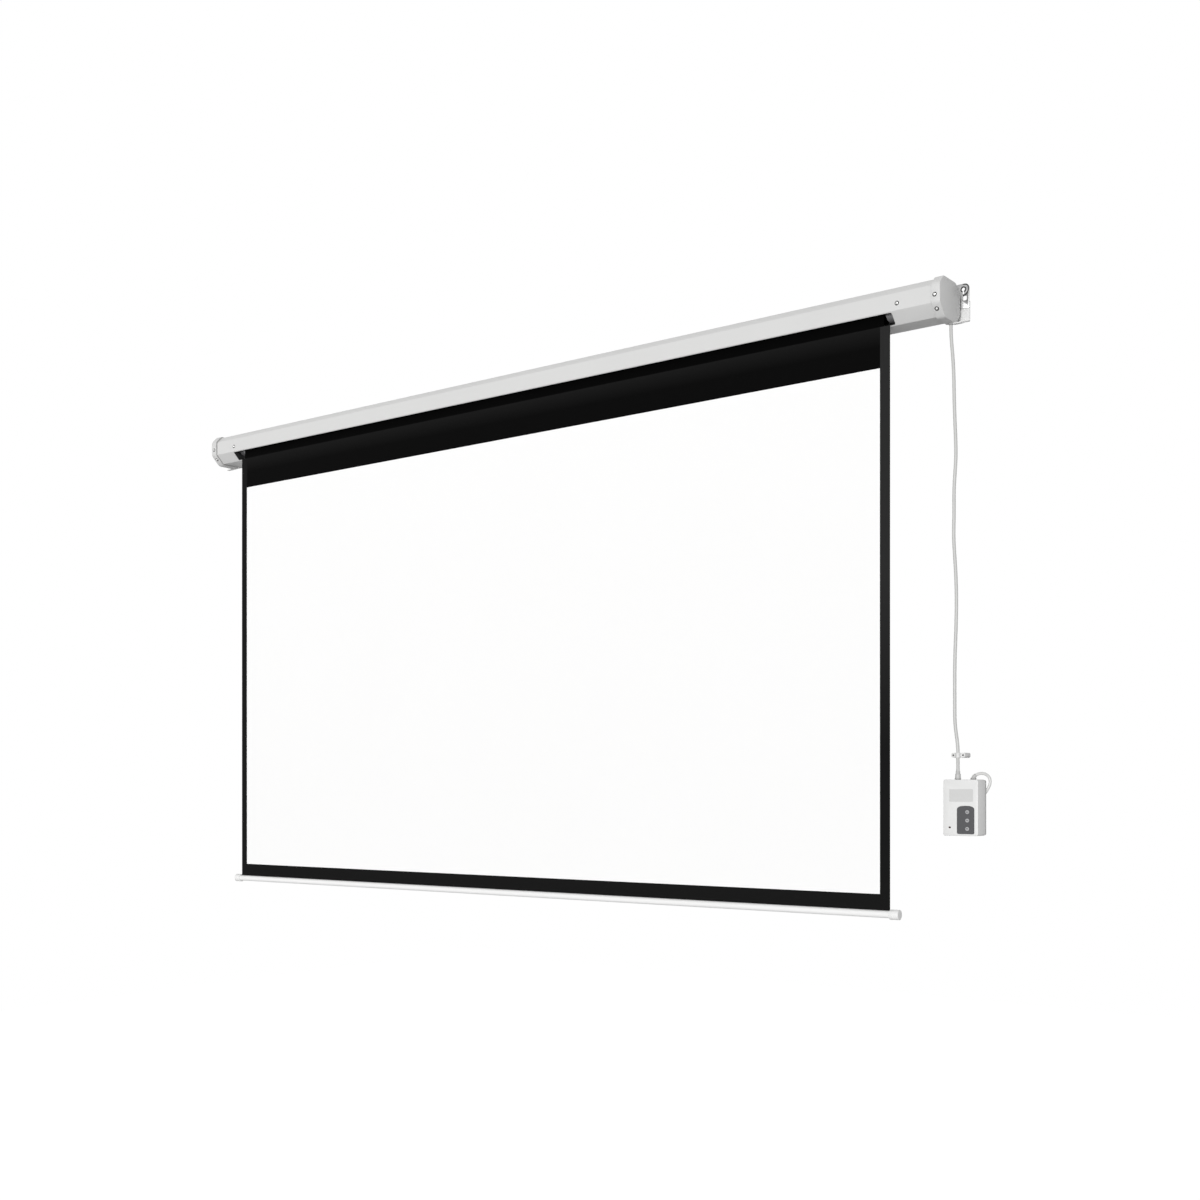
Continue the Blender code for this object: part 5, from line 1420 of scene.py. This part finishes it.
    def _wound(self) -> None:
        """The turns that stay on the roller, a little inside what hangs, which they pass as they turn."""
        low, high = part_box("fabric_roll")
        tube_low, tube_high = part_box("roller_tube")
        centre_y = (tube_low.y + tube_high.y) / 2
        start = centre_y - (low.y + self.backing / 2) - self.slack
        count = self.turns * self.steps
        line = []
        for k in range(count + 1):
            angle = math.tau * k / self.steps
            radius = start - self.pitch * k / self.steps
            line.append((low.x, centre_y - radius * math.cos(angle), radius * math.sin(angle)))
        roll = wire("wound_cloth", line)
        with editing(roll):
            bpy.ops.mesh.extrude_region_move(TRANSFORM_OT_translate={"value": (high.x - low.x, 0, 0)})
        apply_modifier(roll, "SOLIDIFY", thickness=self.backing, offset=0.0)
        smooth(roll)
        settle(dress(roll, Finish.BACKING), "roller", ["fabric_roll"])

    def _hem(self) -> None:
        """The hem: down into the bar's slot and round the spline."""
        low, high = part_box("fabric_hem")
        spline_low, spline_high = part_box("hem_spline")
        centre = ((spline_low.y + spline_high.y) / 2, (spline_low.z + spline_high.z) / 2)
        sheet_y = low.y + self.backing / 2
        radius = centre[0] - sheet_y
        line = [(low.x, sheet_y, high.z), (low.x, sheet_y, (high.z + centre[1]) / 2)]
        for k in range(self.hem_steps + 1):
            angle = math.radians(180 + self.hem_sweep * k / self.hem_steps)
            line.append((low.x, centre[0] + radius * math.cos(angle), centre[1] + radius * math.sin(angle)))
        hem = wire("cloth_hem", line)
        with editing(hem):
            bpy.ops.mesh.extrude_region_move(TRANSFORM_OT_translate={"value": (high.x - low.x, 0, 0)})
        apply_modifier(hem, "SOLIDIFY", thickness=self.backing, offset=0.0)
        smooth(hem)
        settle(dress(hem, Finish.BACKING), "bar", ["fabric_hem"])


@dataclass
class BottomBar:
    """The white tube at the cloth's foot, with its two end caps."""

    tube_radius: float = 0.0085
    wall: float = 0.0014
    slot: float = 0.0011
    steps: int = 64
    # A cap's radius, its play round the tube, and how far its bore's cutter stands out of its mouth
    cap_radius: float = 0.0115
    cap_room: float = 0.0003
    bore_overrun: float = 0.001
    cap_steps: int = 56
    # Points of a cap's outside: how far along from its mouth, and in from its rim
    cap_mouth: tuple[Pair, ...] = ((0.0, 0.0006), (0.0003, 0.0002), (0.0008, 0.0))
    # The same from the tube's end, where a groove runs round it, and from its face
    cap_groove: tuple[Pair, ...] = ((-0.0012, 0.0), (-0.0009, 0.0007), (-0.0003, 0.0007), (0.0, 0.0))
    cap_face: tuple[Pair, ...] = ((-0.0011, 0.0), (-0.0005, 0.0002), (-0.0001, 0.0007), (0.0, 0.0012))

    def build(self) -> None:
        """Models the tube and its caps."""
        low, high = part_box("bar_tube")
        centre = (0.0, (low.y + high.y) / 2, low.z + self.tube_radius)
        outline = []
        for radius, way in ((self.tube_radius, 1), (self.tube_radius - self.wall, -1)):
            edge = math.asin(self.slot / 2 / radius)
            for a in np.linspace(edge, math.tau - edge, self.steps)[::way]:
                outline.append((low.x, centre[1] + radius * math.sin(a), centre[2] + radius * math.cos(a)))
        tube = pushed("enamelled_bar", outline, (high.x - low.x, 0, 0))
        smooth(tube)
        settle(dress(tube, Finish.BAR_ENAMEL), "bar", ["bar_tube"])
        for side, sign in (("left", -1.0), ("right", 1.0)):
            self._cap(side, sign, centre)

    def _cap(self, side: str, sign: float, centre: Point) -> None:
        """A moulded cap over one end of the tube.

        Args:
            side: Which end.
            sign: -1 at the left and 1 at the right.
            centre: A point of the tube's axis.
        """
        low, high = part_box(f"bar_cap_{side}")
        start, end = sorted((abs(low.x), abs(high.x)))
        tube_end = abs(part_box("bar_tube")[1].x)
        room, floor = self.tube_radius + self.cap_room, tube_end + self.cap_room
        outside = [(start, room)]
        for place, points in ((start, self.cap_mouth), (tube_end, self.cap_groove), (end, self.cap_face)):
            outside += [(place + along, self.cap_radius - inwards) for along, inwards in points]
        outside.append((end, 0.0))
        mouth = start - self.bore_overrun
        bore = [(mouth, 0.0), (mouth, room), (floor, room), (floor, 0.0)]
        cap, inner = (
            lathe(name, [(sign * along, out) for along, out in profile], centre, Axis.X, self.cap_steps)
            for name, profile in ((f"bar_end_{side}", outside), ("bar_end_bore", bore))
        )

        def at_mouth(middle: Vector, _: Vector) -> bool:
            """Whether an edge lies round the cap's open end."""
            out = math.hypot(middle.y - centre[1], middle.z - centre[2])
            return abs(abs(middle.x) - start) < CLOSE and out < room + CLOSE

        with editing(cap):
            pick(cap, Element.EDGES, at_mouth)
            bpy.ops.mesh.edge_face_add()
            tidy_mesh()
        apply_modifier(cap, "BOOLEAN", operation="DIFFERENCE", object=inner, solver="EXACT")
        bpy.data.objects.remove(inner)
        smooth(cap, angle=38)
        settle(dress(cap, Finish.BAR_CAP_MOULDING), "bar", [f"bar_cap_{side}"])


class Mark(Enum):
    """The plain mark on a key: its corners across and up, as shares of its half width."""

    UP = ((-1.0, -0.7), (1.0, -0.7), (0.0, 0.9))
    BAR = ((-1.0, -0.3), (1.0, -0.3), (1.0, 0.3), (-1.0, 0.3))
    DOWN = ((-1.0, 0.7), (1.0, 0.7), (0.0, -0.9))


@dataclass
class ControlBox:
    """The box with its keypad, which hangs on the motor's cord and stands off the wall."""

    # The back tray's front, and the seam between it and the cover: its width, and the play and inset of the
    # black band that paints the seam's shadow
    tray_front: float = -0.0255
    seam: float = 0.0024
    play: float = 0.0001
    inset: float = 0.0016
    seam_shadow_rounding: float = 0.003
    pad_rounding: float = 0.0003
    gland_rounding: float = 0.00025
    # The recess's left and right sides, its foot and top, and its floor
    recess: tuple[float, ...] = (1.2541, 1.3107, -1.1197, -1.0910, -0.0652)
    label_gap: float = 0.0003
    label_height: float = 0.0003
    label_sink: float = 0.00002
    label_rounding: float = 0.0008
    # Points of a key's face: how far behind its crown, and share of its radius
    key_face: tuple[Pair, ...] = (
        (0.00012, 0.0),
        (0.00010, 0.55),
        (0.0, 0.80),
        (0.00012, 0.92),
        (0.00055, 1.0),
    )
    key_steps: int = 40
    # A mark's half width, how proud of its key it stands, and how deep its foot is
    mark: float = 0.0021
    mark_height: float = 0.00018
    mark_sink: float = 0.00006
    mark_rounding: float = 0.00008
    keys: dict[str, Mark] = field(
        default_factory=lambda: {"up_button": Mark.UP, "stop_button": Mark.BAR, "down_button": Mark.DOWN}
    )
    # The lens: its seat on the cover, its skin behind its rim, its play in its hole, and its rim past it
    lens_seat: float = 0.00002
    lens_skin: float = 0.00001
    lens_fit: float = 0.00005
    lens_lip: float = 0.0006
    lens_stretch: float = 1.35
    lens_steps: int = 32
    # Points of the lens's face: how far it stands out, and share of its rim
    lens_face: tuple[Pair, ...] = ((0.00040, 0.0), (0.00036, 0.5), (0.00022, 0.85), (0.0, 1.0))
    sleeve_seat: float = 0.0003
    sleeve_steps: int = 40
    # Points of the motor cord's gland: height over its foot, and radius
    sleeve_foot: tuple[Pair, ...] = ((0.0, 0.0), (0.0, 0.0048))
    # The same over its seat on the box's top: the round sleeve
    sleeve_body: tuple[Pair, ...] = (
        (0.0, 0.0048),
        (0.0, 0.0068),
        (0.0004, 0.0072),
        (0.0026, 0.0072),
        (0.0032, 0.0064),
        (0.0116, 0.0061),
        (0.0124, 0.0054),
        (0.0130, 0.0050),
    )
    # The same over its CAD node's top: the collar round the cord
    sleeve_collar: tuple[Pair, ...] = ((-0.0004, 0.0048), (0.0012, 0.0043), (0.0014, 0.0040), (0.0014, 0.0))

    def build(self) -> None:
        """Models the box's pieces."""
        cover = copied("box_shell", "box_cover")
        smooth(cover, angle=40)
        settle(dress(cover, Finish.BOX_MOULDING), "case", ["box_cover"])
        self._back()
        self._label()
        pad = copied("keypad_sheet", "keypad_panel")
        rounded_edges(pad, self.pad_rounding)
        smooth(pad, angle=40)
        apply_modifier(pad, "WEIGHTED_NORMAL", keep_sharp=True)
        settle(dress(pad, Finish.KEYPAD_RUBBER), "case", ["keypad_panel"])
        for node, mark in self.keys.items():
            self._key(node, mark)
        self._lens()
        gland = copied("mains_gland_body", "mains_gland")
        rounded_edges(gland, self.gland_rounding, segments=1, angle=40)
        smooth(gland, angle=40)
        settle(dress(gland, Finish.GLAND_MOULDING), "case", ["mains_gland"])
        self._sleeve()

    def _sleeve(self) -> None:
        """The motor cord's gland: a neck in the box, a round sleeve and a narrower collar on it."""
        low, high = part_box("motor_gland")
        centre = ((low.x + high.x) / 2, (low.y + high.y) / 2, 0.0)
        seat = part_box("box_cover")[1].z + self.sleeve_seat
        profile = [(low.z + up, out) for up, out in self.sleeve_foot]
        profile += [(seat + up, out) for up, out in self.sleeve_body]
        profile += [(high.z + up, out) for up, out in self.sleeve_collar]
        sleeve = lathe("motor_gland_body", profile, centre, Axis.Z, self.sleeve_steps)
        smooth(sleeve, angle=35)
        settle(dress(sleeve, Finish.GLAND_MOULDING), "case", ["motor_gland"])

    def _label(self) -> None:
        """A bare plate in the recess for a label."""
        left, right, low, high, floor = self.recess
        gap = self.label_gap
        plate = block(
            "label_plate",
            (left + gap, floor - self.label_height, low + gap),
            (right - gap, floor - self.label_sink, high - gap),
        )
        with editing(plate):
            pick(plate, Element.EDGES, lambda _, along: abs(along.y) > NEAR)
            bpy.ops.mesh.bevel(offset=self.label_rounding, segments=3)
        settle(dress(plate, Finish.LABEL_MOULDING), "case")

    def _back(self) -> None:
        """The back tray, light, and a black band in the seam between it and the cover that paints the seam's
        shadow.
        """
        low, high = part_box("box_back")
        front, back = self.tray_front, self.tray_front + self.seam
        tray = copied("box_tray", "box_back")
        with editing(tray):
            bpy.ops.mesh.bisect(plane_co=(0, back, 0), plane_no=(0, 1, 0), use_fill=True, clear_inner=True)
            tidy_mesh()
        smooth(tray)
        settle(dress(tray, Finish.BACK_MOULDING), "case", ["box_back"])
        inset = self.inset
        # A black band that paints the shadow in the seam
        shadow_band = block(
            "box_seal",
            (low.x + inset, front + self.play, low.z + inset),
            (high.x - inset, back - self.play, high.z - inset),
        )
        with editing(shadow_band):
            pick(shadow_band, Element.EDGES, lambda _, along: abs(along.y) > self.seam / 2)
            bpy.ops.mesh.bevel(offset=self.seam_shadow_rounding, segments=5)
        smooth(shadow_band)
        settle(dress(shadow_band, Finish.BLACK_MOULDING), "case")

    def _key(self, node: str, mark: Mark) -> None:
        """A round key with a plain mark on its face.

        Args:
            node: The key's CAD node, which is also its body.
            mark: What is on its face.
        """
        low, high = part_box(node)
        radius = (high.x - low.x) / 2
        centre = ((low.x + high.x) / 2, 0.0, (low.z + high.z) / 2)
        profile = [(low.y + behind, radius * share) for behind, share in self.key_face]
        profile += [(high.y, radius), (high.y, 0.0)]
        key = lathe(f"{node}_cap", profile, centre, Axis.Y, self.key_steps)
        smooth(key, angle=40)
        settle(dress(key, Finish.KEY_RUBBER), node, [node])
        size, y = self.mark, low.y + self.mark_sink
        outline = [(centre[0] + size * across, y, centre[2] + size * up) for across, up in mark.value]
        sign = pushed(f"{node}_mark", outline, (0, -self.mark_height, 0))
        rounded_edges(sign, self.mark_rounding, segments=1)
        settle(dress(sign, Finish.KEY_MARK), node)

    def _lens(self) -> None:
        """The small oblong lens beside the keypad."""
        low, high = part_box("status_led")
        radius = (high.x - low.x) / 2
        rim = radius + self.lens_lip
        centre = ((low.x + high.x) / 2, 0.0, (low.z + high.z) / 2)
        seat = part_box("box_cover")[0].y - self.lens_seat
        neck = radius - self.lens_fit
        profile = [(seat - out, rim * share) for out, share in self.lens_face]
        profile += [(seat + self.lens_skin, neck), (high.y, neck), (high.y, 0.0)]
        lens = lathe("led_lens", profile, centre, Axis.Y, self.lens_steps)
        with editing(lens):
            pick(lens, Element.VERTS, lambda place, _: place.y < seat + self.lens_skin / 2)
            bpy.ops.transform.resize(value=(self.lens_stretch, 1, 1), center_override=centre)
        smooth(lens, angle=50)
        settle(dress(lens, Finish.LENS), "case", ["status_led"])


@dataclass
class Clip:
    """The saddle clip that holds the motor's cord on the wall with two nails."""

    rounding: float = 0.0040
    edge_rounding: float = 0.0004
    # An edge along Y that is longer than this is a corner of an end
    corner: float = 0.002
    # The Y of the clip's face, which the nails are driven into
    face: float = -0.0300
    nail_inset: float = 0.0048
    nail_steps: int = 24
    # Points of a nail's head: how far it stands off the clip's face, and radius
    nail: tuple[Pair, ...] = (
        (0.0009, 0.0),
        (0.0008, 0.0012),
        (0.0004, 0.0019),
        (0.0001, 0.0019),
        (0.0001, 0.0),
    )

    def build(self) -> bpy.types.Object:
        """Models the clip and its nails.

        Returns:
            The clip.
        """
        clip = copied("clip_saddle", "saddle_clip")
        low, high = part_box("saddle_clip")

        def at_corner(middle: Vector, along: Vector) -> bool:
            """Whether an edge is a corner of one of the clip's ends."""
            return abs(along.y) > self.corner and min(middle.x - low.x, high.x - middle.x) < NEAR

        with editing(clip):
            pick(clip, Element.EDGES, at_corner)
            bpy.ops.mesh.bevel(offset=self.rounding, segments=5)
        rounded_edges(clip, self.edge_rounding)
        smooth(clip, angle=40)
        settle(dress(clip, Finish.CLIP_MOULDING), "case", ["saddle_clip"])
        profile = [(self.face - out, radius) for out, radius in self.nail]
        for name, x in (("left", low.x + self.nail_inset), ("right", high.x - self.nail_inset)):
            centre = (x, 0.0, (low.z + high.z) / 2)
            nail = lathe(f"clip_nail_{name}", profile, centre, Axis.Y, self.nail_steps)
            smooth(nail, angle=50)
            settle(dress(nail, Finish.WASHER_STEEL), "case")
        return clip


@dataclass
class Plug:
    """The mains cord's plug: a body with grips, and two flat pins."""

    # The body's length, where its taper starts, and the share of its height at the cord
    length: float = 0.028
    shoulder: float = 0.0182
    taper: float = 0.62
    rounding: float = 0.0038
    edge_rounding: float = 0.0003
    grips: int = 4
    grip_start: float = 0.0065
    grip_pitch: float = 0.0030
    grip_width: float = 0.0012
    grip_size: Point = (1.0, 0.93, 0.955)
    # An edge that runs further than this along X is one of the body's long ones
    long_edge: float = 0.004
    # The pins: half the gap between their middles, half their width, half their thickness and their roots
    pin_gap: float = 0.00625
    pin_width: float = 0.0030
    pin_thickness: float = 0.00075
    pin_root: float = 0.0005
    pin_rounding: float = 0.0015
    pin_edge_rounding: float = 0.00012

    def build(self, depth: float) -> tuple[bpy.types.Object, list[bpy.types.Object]]:
        """Models the plug's body and its pins.

        Args:
            depth: The Y of the pins' middle.

        Returns:
            The body and the pins.
        """
        low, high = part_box("mains_plug")
        front, middle = high.x - self.length, (low.z + high.z) / 2
        body = block("plug_body", (front, low.y, low.z), (high.x, high.y, high.z))
        with editing(body):
            bpy.ops.mesh.bisect(plane_co=(front + self.shoulder, 0, 0), plane_no=(1, 0, 0))
            pick(body, Element.VERTS, lambda place, _: place.x > high.x - CLOSE)
            bpy.ops.transform.resize(value=(1, 1, self.taper), center_override=(high.x, 0, middle))
            pick(body, Element.EDGES, lambda _, along: abs(along.x) > self.long_edge)
            bpy.ops.mesh.bevel(offset=self.rounding, segments=5)
            for k in range(self.grips):
                at = front + self.grip_start + self.grip_pitch * k
                self._grip(body, at, (at, (low.y + high.y) / 2, middle))
            tidy_mesh()
        rounded_edges(body, self.edge_rounding, segments=2, angle=40)
        smooth(body, angle=30)
        settle(dress(body, Finish.WHITE_MOULDING), "case", ["mains_plug"])
        pins = []
        for name, side in (("lower", -1), ("upper", 1)):
            z = middle + side * self.pin_gap
            pin = block(
                f"plug_pin_{name}",
                (low.x, depth - self.pin_width, z - self.pin_thickness),
                (front + self.pin_root, depth + self.pin_width, z + self.pin_thickness),
            )
            self._point(pin, low.x)
            settle(dress(pin, Finish.PLUG_PINS), "case")
            pins.append(pin)
        return body, pins

    def _grip(self, body: bpy.types.Object, at: float, centre: Point) -> None:
        """Sinks one grip round the body, in edit mode.

        Args:
            body: The body.
            at: The X that the grip starts at.
            centre: The point that its faces draw in towards.
        """
        end = at + self.grip_width
        for edge in (at, end):
            bpy.ops.mesh.select_all(action="SELECT")
            bpy.ops.mesh.bisect(plane_co=(edge, 0, 0), plane_no=(1, 0, 0))
        pick(body, Element.FACES, lambda place, normal: at < place.x < end and abs(normal.x) < 0.5)
        bpy.ops.transform.resize(value=self.grip_size, center_override=centre)

    def _point(self, pin: bpy.types.Object, tip: float) -> None:
        """Rounds a pin's tip.

        Args:
            pin: The pin.
            tip: The X that it ends at.
        """
        with editing(pin):
            pick(pin, Element.EDGES, lambda place, along: place.x < tip + CLOSE and abs(along.z) > NEAR)
            bpy.ops.mesh.bevel(offset=self.pin_rounding, segments=4)
        rounded_edges(pin, self.pin_edge_rounding, segments=1)


@dataclass
class Cords:
    """The motor's cord with its clip, and the mains cord with its coil, strap and plug."""

    motor_diameter: float = 0.0075
    mains_diameter: float = 0.0065
    # How much of the mains cord its gland hides
    gland_reach: float = 0.0085
    case_end: float = 1.2590
    box_left: float = 1.2400
    box_top: float = -1.0700
    # How far the box stands off the wall, with the coil in between
    standoff: float = 0.0180
    coil_turns: int = 6
    coil_steps: int = 40
    coil_pitch: float = 0.0070
    coil_middle: float = 0.0330
    coil_centre: Pair = (1.2655, -1.1178)
    # The turns over which the coil climbs a layer, and the step beyond its ends that sets their direction
    coil_climb: float = 0.5
    coil_lead: float = 0.0006
    strap_rounding: float = 0.0002
    # The distance between the points of each cord's line
    motor_spacing: float = 0.012
    arch_spacing: float = 0.003
    tail_spacing: float = 0.004
    # The motor cord's heights at the case and at the clip
    span: Pair = (-0.0488, -1.0075)
    # Points of the motor cord: share of the way down, X from the case's end, and Y
    sway: tuple[Point, ...] = (
        (0.0000, -0.0100, -0.0440),
        (0.0160, -0.0098, -0.0440),
        (0.0824, -0.0055, -0.0430),
        (0.1784, -0.0032, -0.0413),
        (0.2464, -0.0013, -0.0403),
        (0.3121, -0.0005, -0.0393),
        (0.3765, -0.0047, -0.0383),
        (0.4493, -0.0058, -0.0372),
        (0.4887, -0.0067, -0.0366),
        (0.5594, -0.0035, -0.0356),
        (0.6463, -0.0013, -0.0342),
        (0.7141, -0.0028, -0.0335),
        (0.7888, -0.0055, -0.0330),
        (0.8898, -0.0061, -0.0323),
        (0.9451, -0.0045, -0.0317),
        (0.9795, -0.0002, -0.0311),
    )
    # Its last points, through the clip and into the box's gland
    landing: tuple[Point, ...] = (
        (1.2600, -0.0310, -1.0075),
        (1.2600, -0.0310, -1.0225),
        (1.2609, -0.0333, -1.0340),
        (1.2622, -0.0360, -1.0450),
        (1.2622, -0.0360, -1.0501),
    )
    # Points of the mains cord's arch: X from the box's left side, Y, and Z from its top
    arch: tuple[Point, ...] = (
        (0.0580, -0.0340, 0.0010),
        (0.0586, -0.0335, 0.0050),
        (0.0622, -0.0305, 0.0100),
        (0.0675, -0.0262, 0.0130),
        (0.0735, -0.0212, 0.0138),
        (0.0800, -0.0157, 0.0115),
        (0.0850, -0.0114, 0.0055),
        (0.0870, -0.0096, -0.0035),
        (0.0845, -0.0099, -0.0150),
        (0.0765, -0.0110, -0.0290),
        (0.0703, -0.0123, -0.0405),
    )
    # Points of the cord's tail between the coil and the plug, as those of the arch
    tail: tuple[Point, ...] = (
        (0.0693, -0.0056, -0.0600),
        (0.0685, -0.0062, -0.0750),
        (0.0645, -0.0072, -0.0900),
        (0.0575, -0.0083, -0.1025),
        (0.0495, -0.0090, -0.1092),
        (0.0431, -0.0090, -0.1090),
    )
    # Points of the lead inside the case, from the motor's head to the cord outlet
    lead: tuple[Point, ...] = (
        (1.1756, -0.0705, 0.0000),
        (1.1920, -0.0690, -0.0020),
        (1.2150, -0.0620, -0.0110),
        (1.2360, -0.0520, -0.0190),
        (1.2475, -0.0455, -0.0280),
        (1.2490, -0.0440, -0.0350),
        (1.2490, -0.0440, -0.0400),
    )

    def build(self) -> None:
        """Models the cords and what is on them."""
        self._motor_cord(Clip().build())
        plug, pins = Plug().build(-self.standoff / 2)
        strap = copied("coil_strap", "coil_tie")
        rounded_edges(strap, self.strap_rounding, segments=2, angle=40)
        smooth(strap, angle=30)
        settle(dress(strap, Finish.STRAP), "case", ["coil_tie"])
        self._mains_cord()
        self._inner_lead()

    def _motor_cord(self, clip: bpy.types.Object) -> None:
        """The cord from the case down to the box.

        Args:
            clip: The saddle clip that holds it; not used.
        """
        top, low = self.span
        route = [(self.case_end + x, y, top + share * (low - top)) for share, x, y in self.sway]
        line = through([*route, *self.landing], self.motor_spacing)
        cord = cord_piece("motor_cord_jacket", line, self.motor_diameter, Finish.MOTOR_CORD)
        settle(cord, "case", ["motor_cord"])

    def _coil(self) -> list[Point]:
        """The coil, which spirals in, climbs a layer, and spirals out again.

        Returns:
            The coil's points.
        """
        inner = self.coil_middle - self.coil_turns * self.coil_pitch / 4
        front, back = (-self.standoff / 2 + side * self.coil_pitch / 2 for side in (-1, 1))
        middle = self.coil_turns / 2
        points = []
        for k in range(self.coil_turns * self.coil_steps + 1):
            turn = k / self.coil_steps
            radius = inner + self.coil_pitch * abs(turn - middle)
            climb = min(1.0, max(0.0, (turn - middle) / self.coil_climb + 0.5))
            y = front + (back - front) * (1 - math.cos(math.pi * climb)) / 2
            angle = -math.tau * turn
            x = self.coil_centre[0] + radius * math.cos(angle)
            points.append((x, y, self.coil_centre[1] + radius * math.sin(angle)))
        return points

    def _mains_cord(self) -> None:
        """The cord from the box round to the coil behind it, and on to the plug.
        """
        coil = self._coil()
        left, top = self.box_left, self.box_top
        arch, tail = ([(left + x, y, top + z) for x, y, z in points] for points in (self.arch, self.tail))
        (start_x, start_y, start_z), (end_x, end_y, end_z) = coil[0], coil[-1]
        line = through([*arch, (start_x, start_y, start_z + self.coil_lead)], self.arch_spacing)
        start = 0
        while run_of(line[: start + 1]) < self.gland_reach:
            start += 1
        rest = through([(end_x, end_y, end_z - self.coil_lead), *tail], self.tail_spacing)
        line = line[start:] + coil + rest
        cord = cord_piece("mains_cord_jacket", line, self.mains_diameter, Finish.MAINS_CORD)
        settle(cord, "case", ["mains_cord", "mains_coil", "mains_tail"])

    def _inner_lead(self) -> None:
        """The lead inside the case, from the motor's head to the cord outlet."""
        line = through(self.lead, self.tail_spacing)
        lead = cord_piece("motor_lead_jacket", line, self.motor_diameter, Finish.MOTOR_CORD)
        settle(lead, "case", ["inner_lead"])


@dataclass
class Works:
    """The solids inside the case and the box, which keep their CAD shapes."""

    finishes: dict[str, Finish] = field(
        default_factory=lambda: {
            "roller_tube": Finish.DRAWN_ALUMINIUM,
            "roller_carrier_left": Finish.GALVANISED,
            "roller_carrier_right": Finish.GALVANISED,
            "idler_plug": Finish.PLUG_MOULDING,
            "idler_bearing": Finish.TURNED_STEEL,
            "idler_pin": Finish.TURNED_STEEL,
            "motor_tube": Finish.GALVANISED,
            "motor_head": Finish.BLACK_MOULDING,
            "crown_wheel": Finish.WHITE_MOULDING,
            "drive_wheel": Finish.BLACK_MOULDING,
            "output_shaft": Finish.TURNED_STEEL,
            "gearbox_housing": Finish.GALVANISED,
            "stator": Finish.COPPER,
            "rotor": Finish.TURNED_STEEL,
            "run_capacitor": Finish.DRAWN_ALUMINIUM,
            "limit_screw_up": Finish.SCREW_ZINC,
            "limit_screw_down": Finish.SCREW_ZINC,
            "hem_spline": Finish.WHITE_MOULDING,
            "circuit_board": Finish.BOARD,
            "relay_up": Finish.RELAY_SHELL,
            "relay_down": Finish.RELAY_SHELL,
            "transformer": Finish.GALVANISED,
        }
    )

    def build(self) -> None:
        """Gives each of these its finish."""
        for node, finish in self.finishes.items():
            redress(node, finish)
            LOG.info("%s keeps its solid", node)


def main() -> None:
    """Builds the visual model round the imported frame."""
    logging.basicConfig(level=logging.INFO, format="%(message)s")
    for obj in list(bpy.data.objects):
        bpy.data.objects.remove(obj)
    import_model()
    Studio().build()
    Cords().build()
    Case().build()
    Screen().build()
    BottomBar().build()
    ControlBox().build()
    Works().build()


if __name__ == "__main__":
    main()
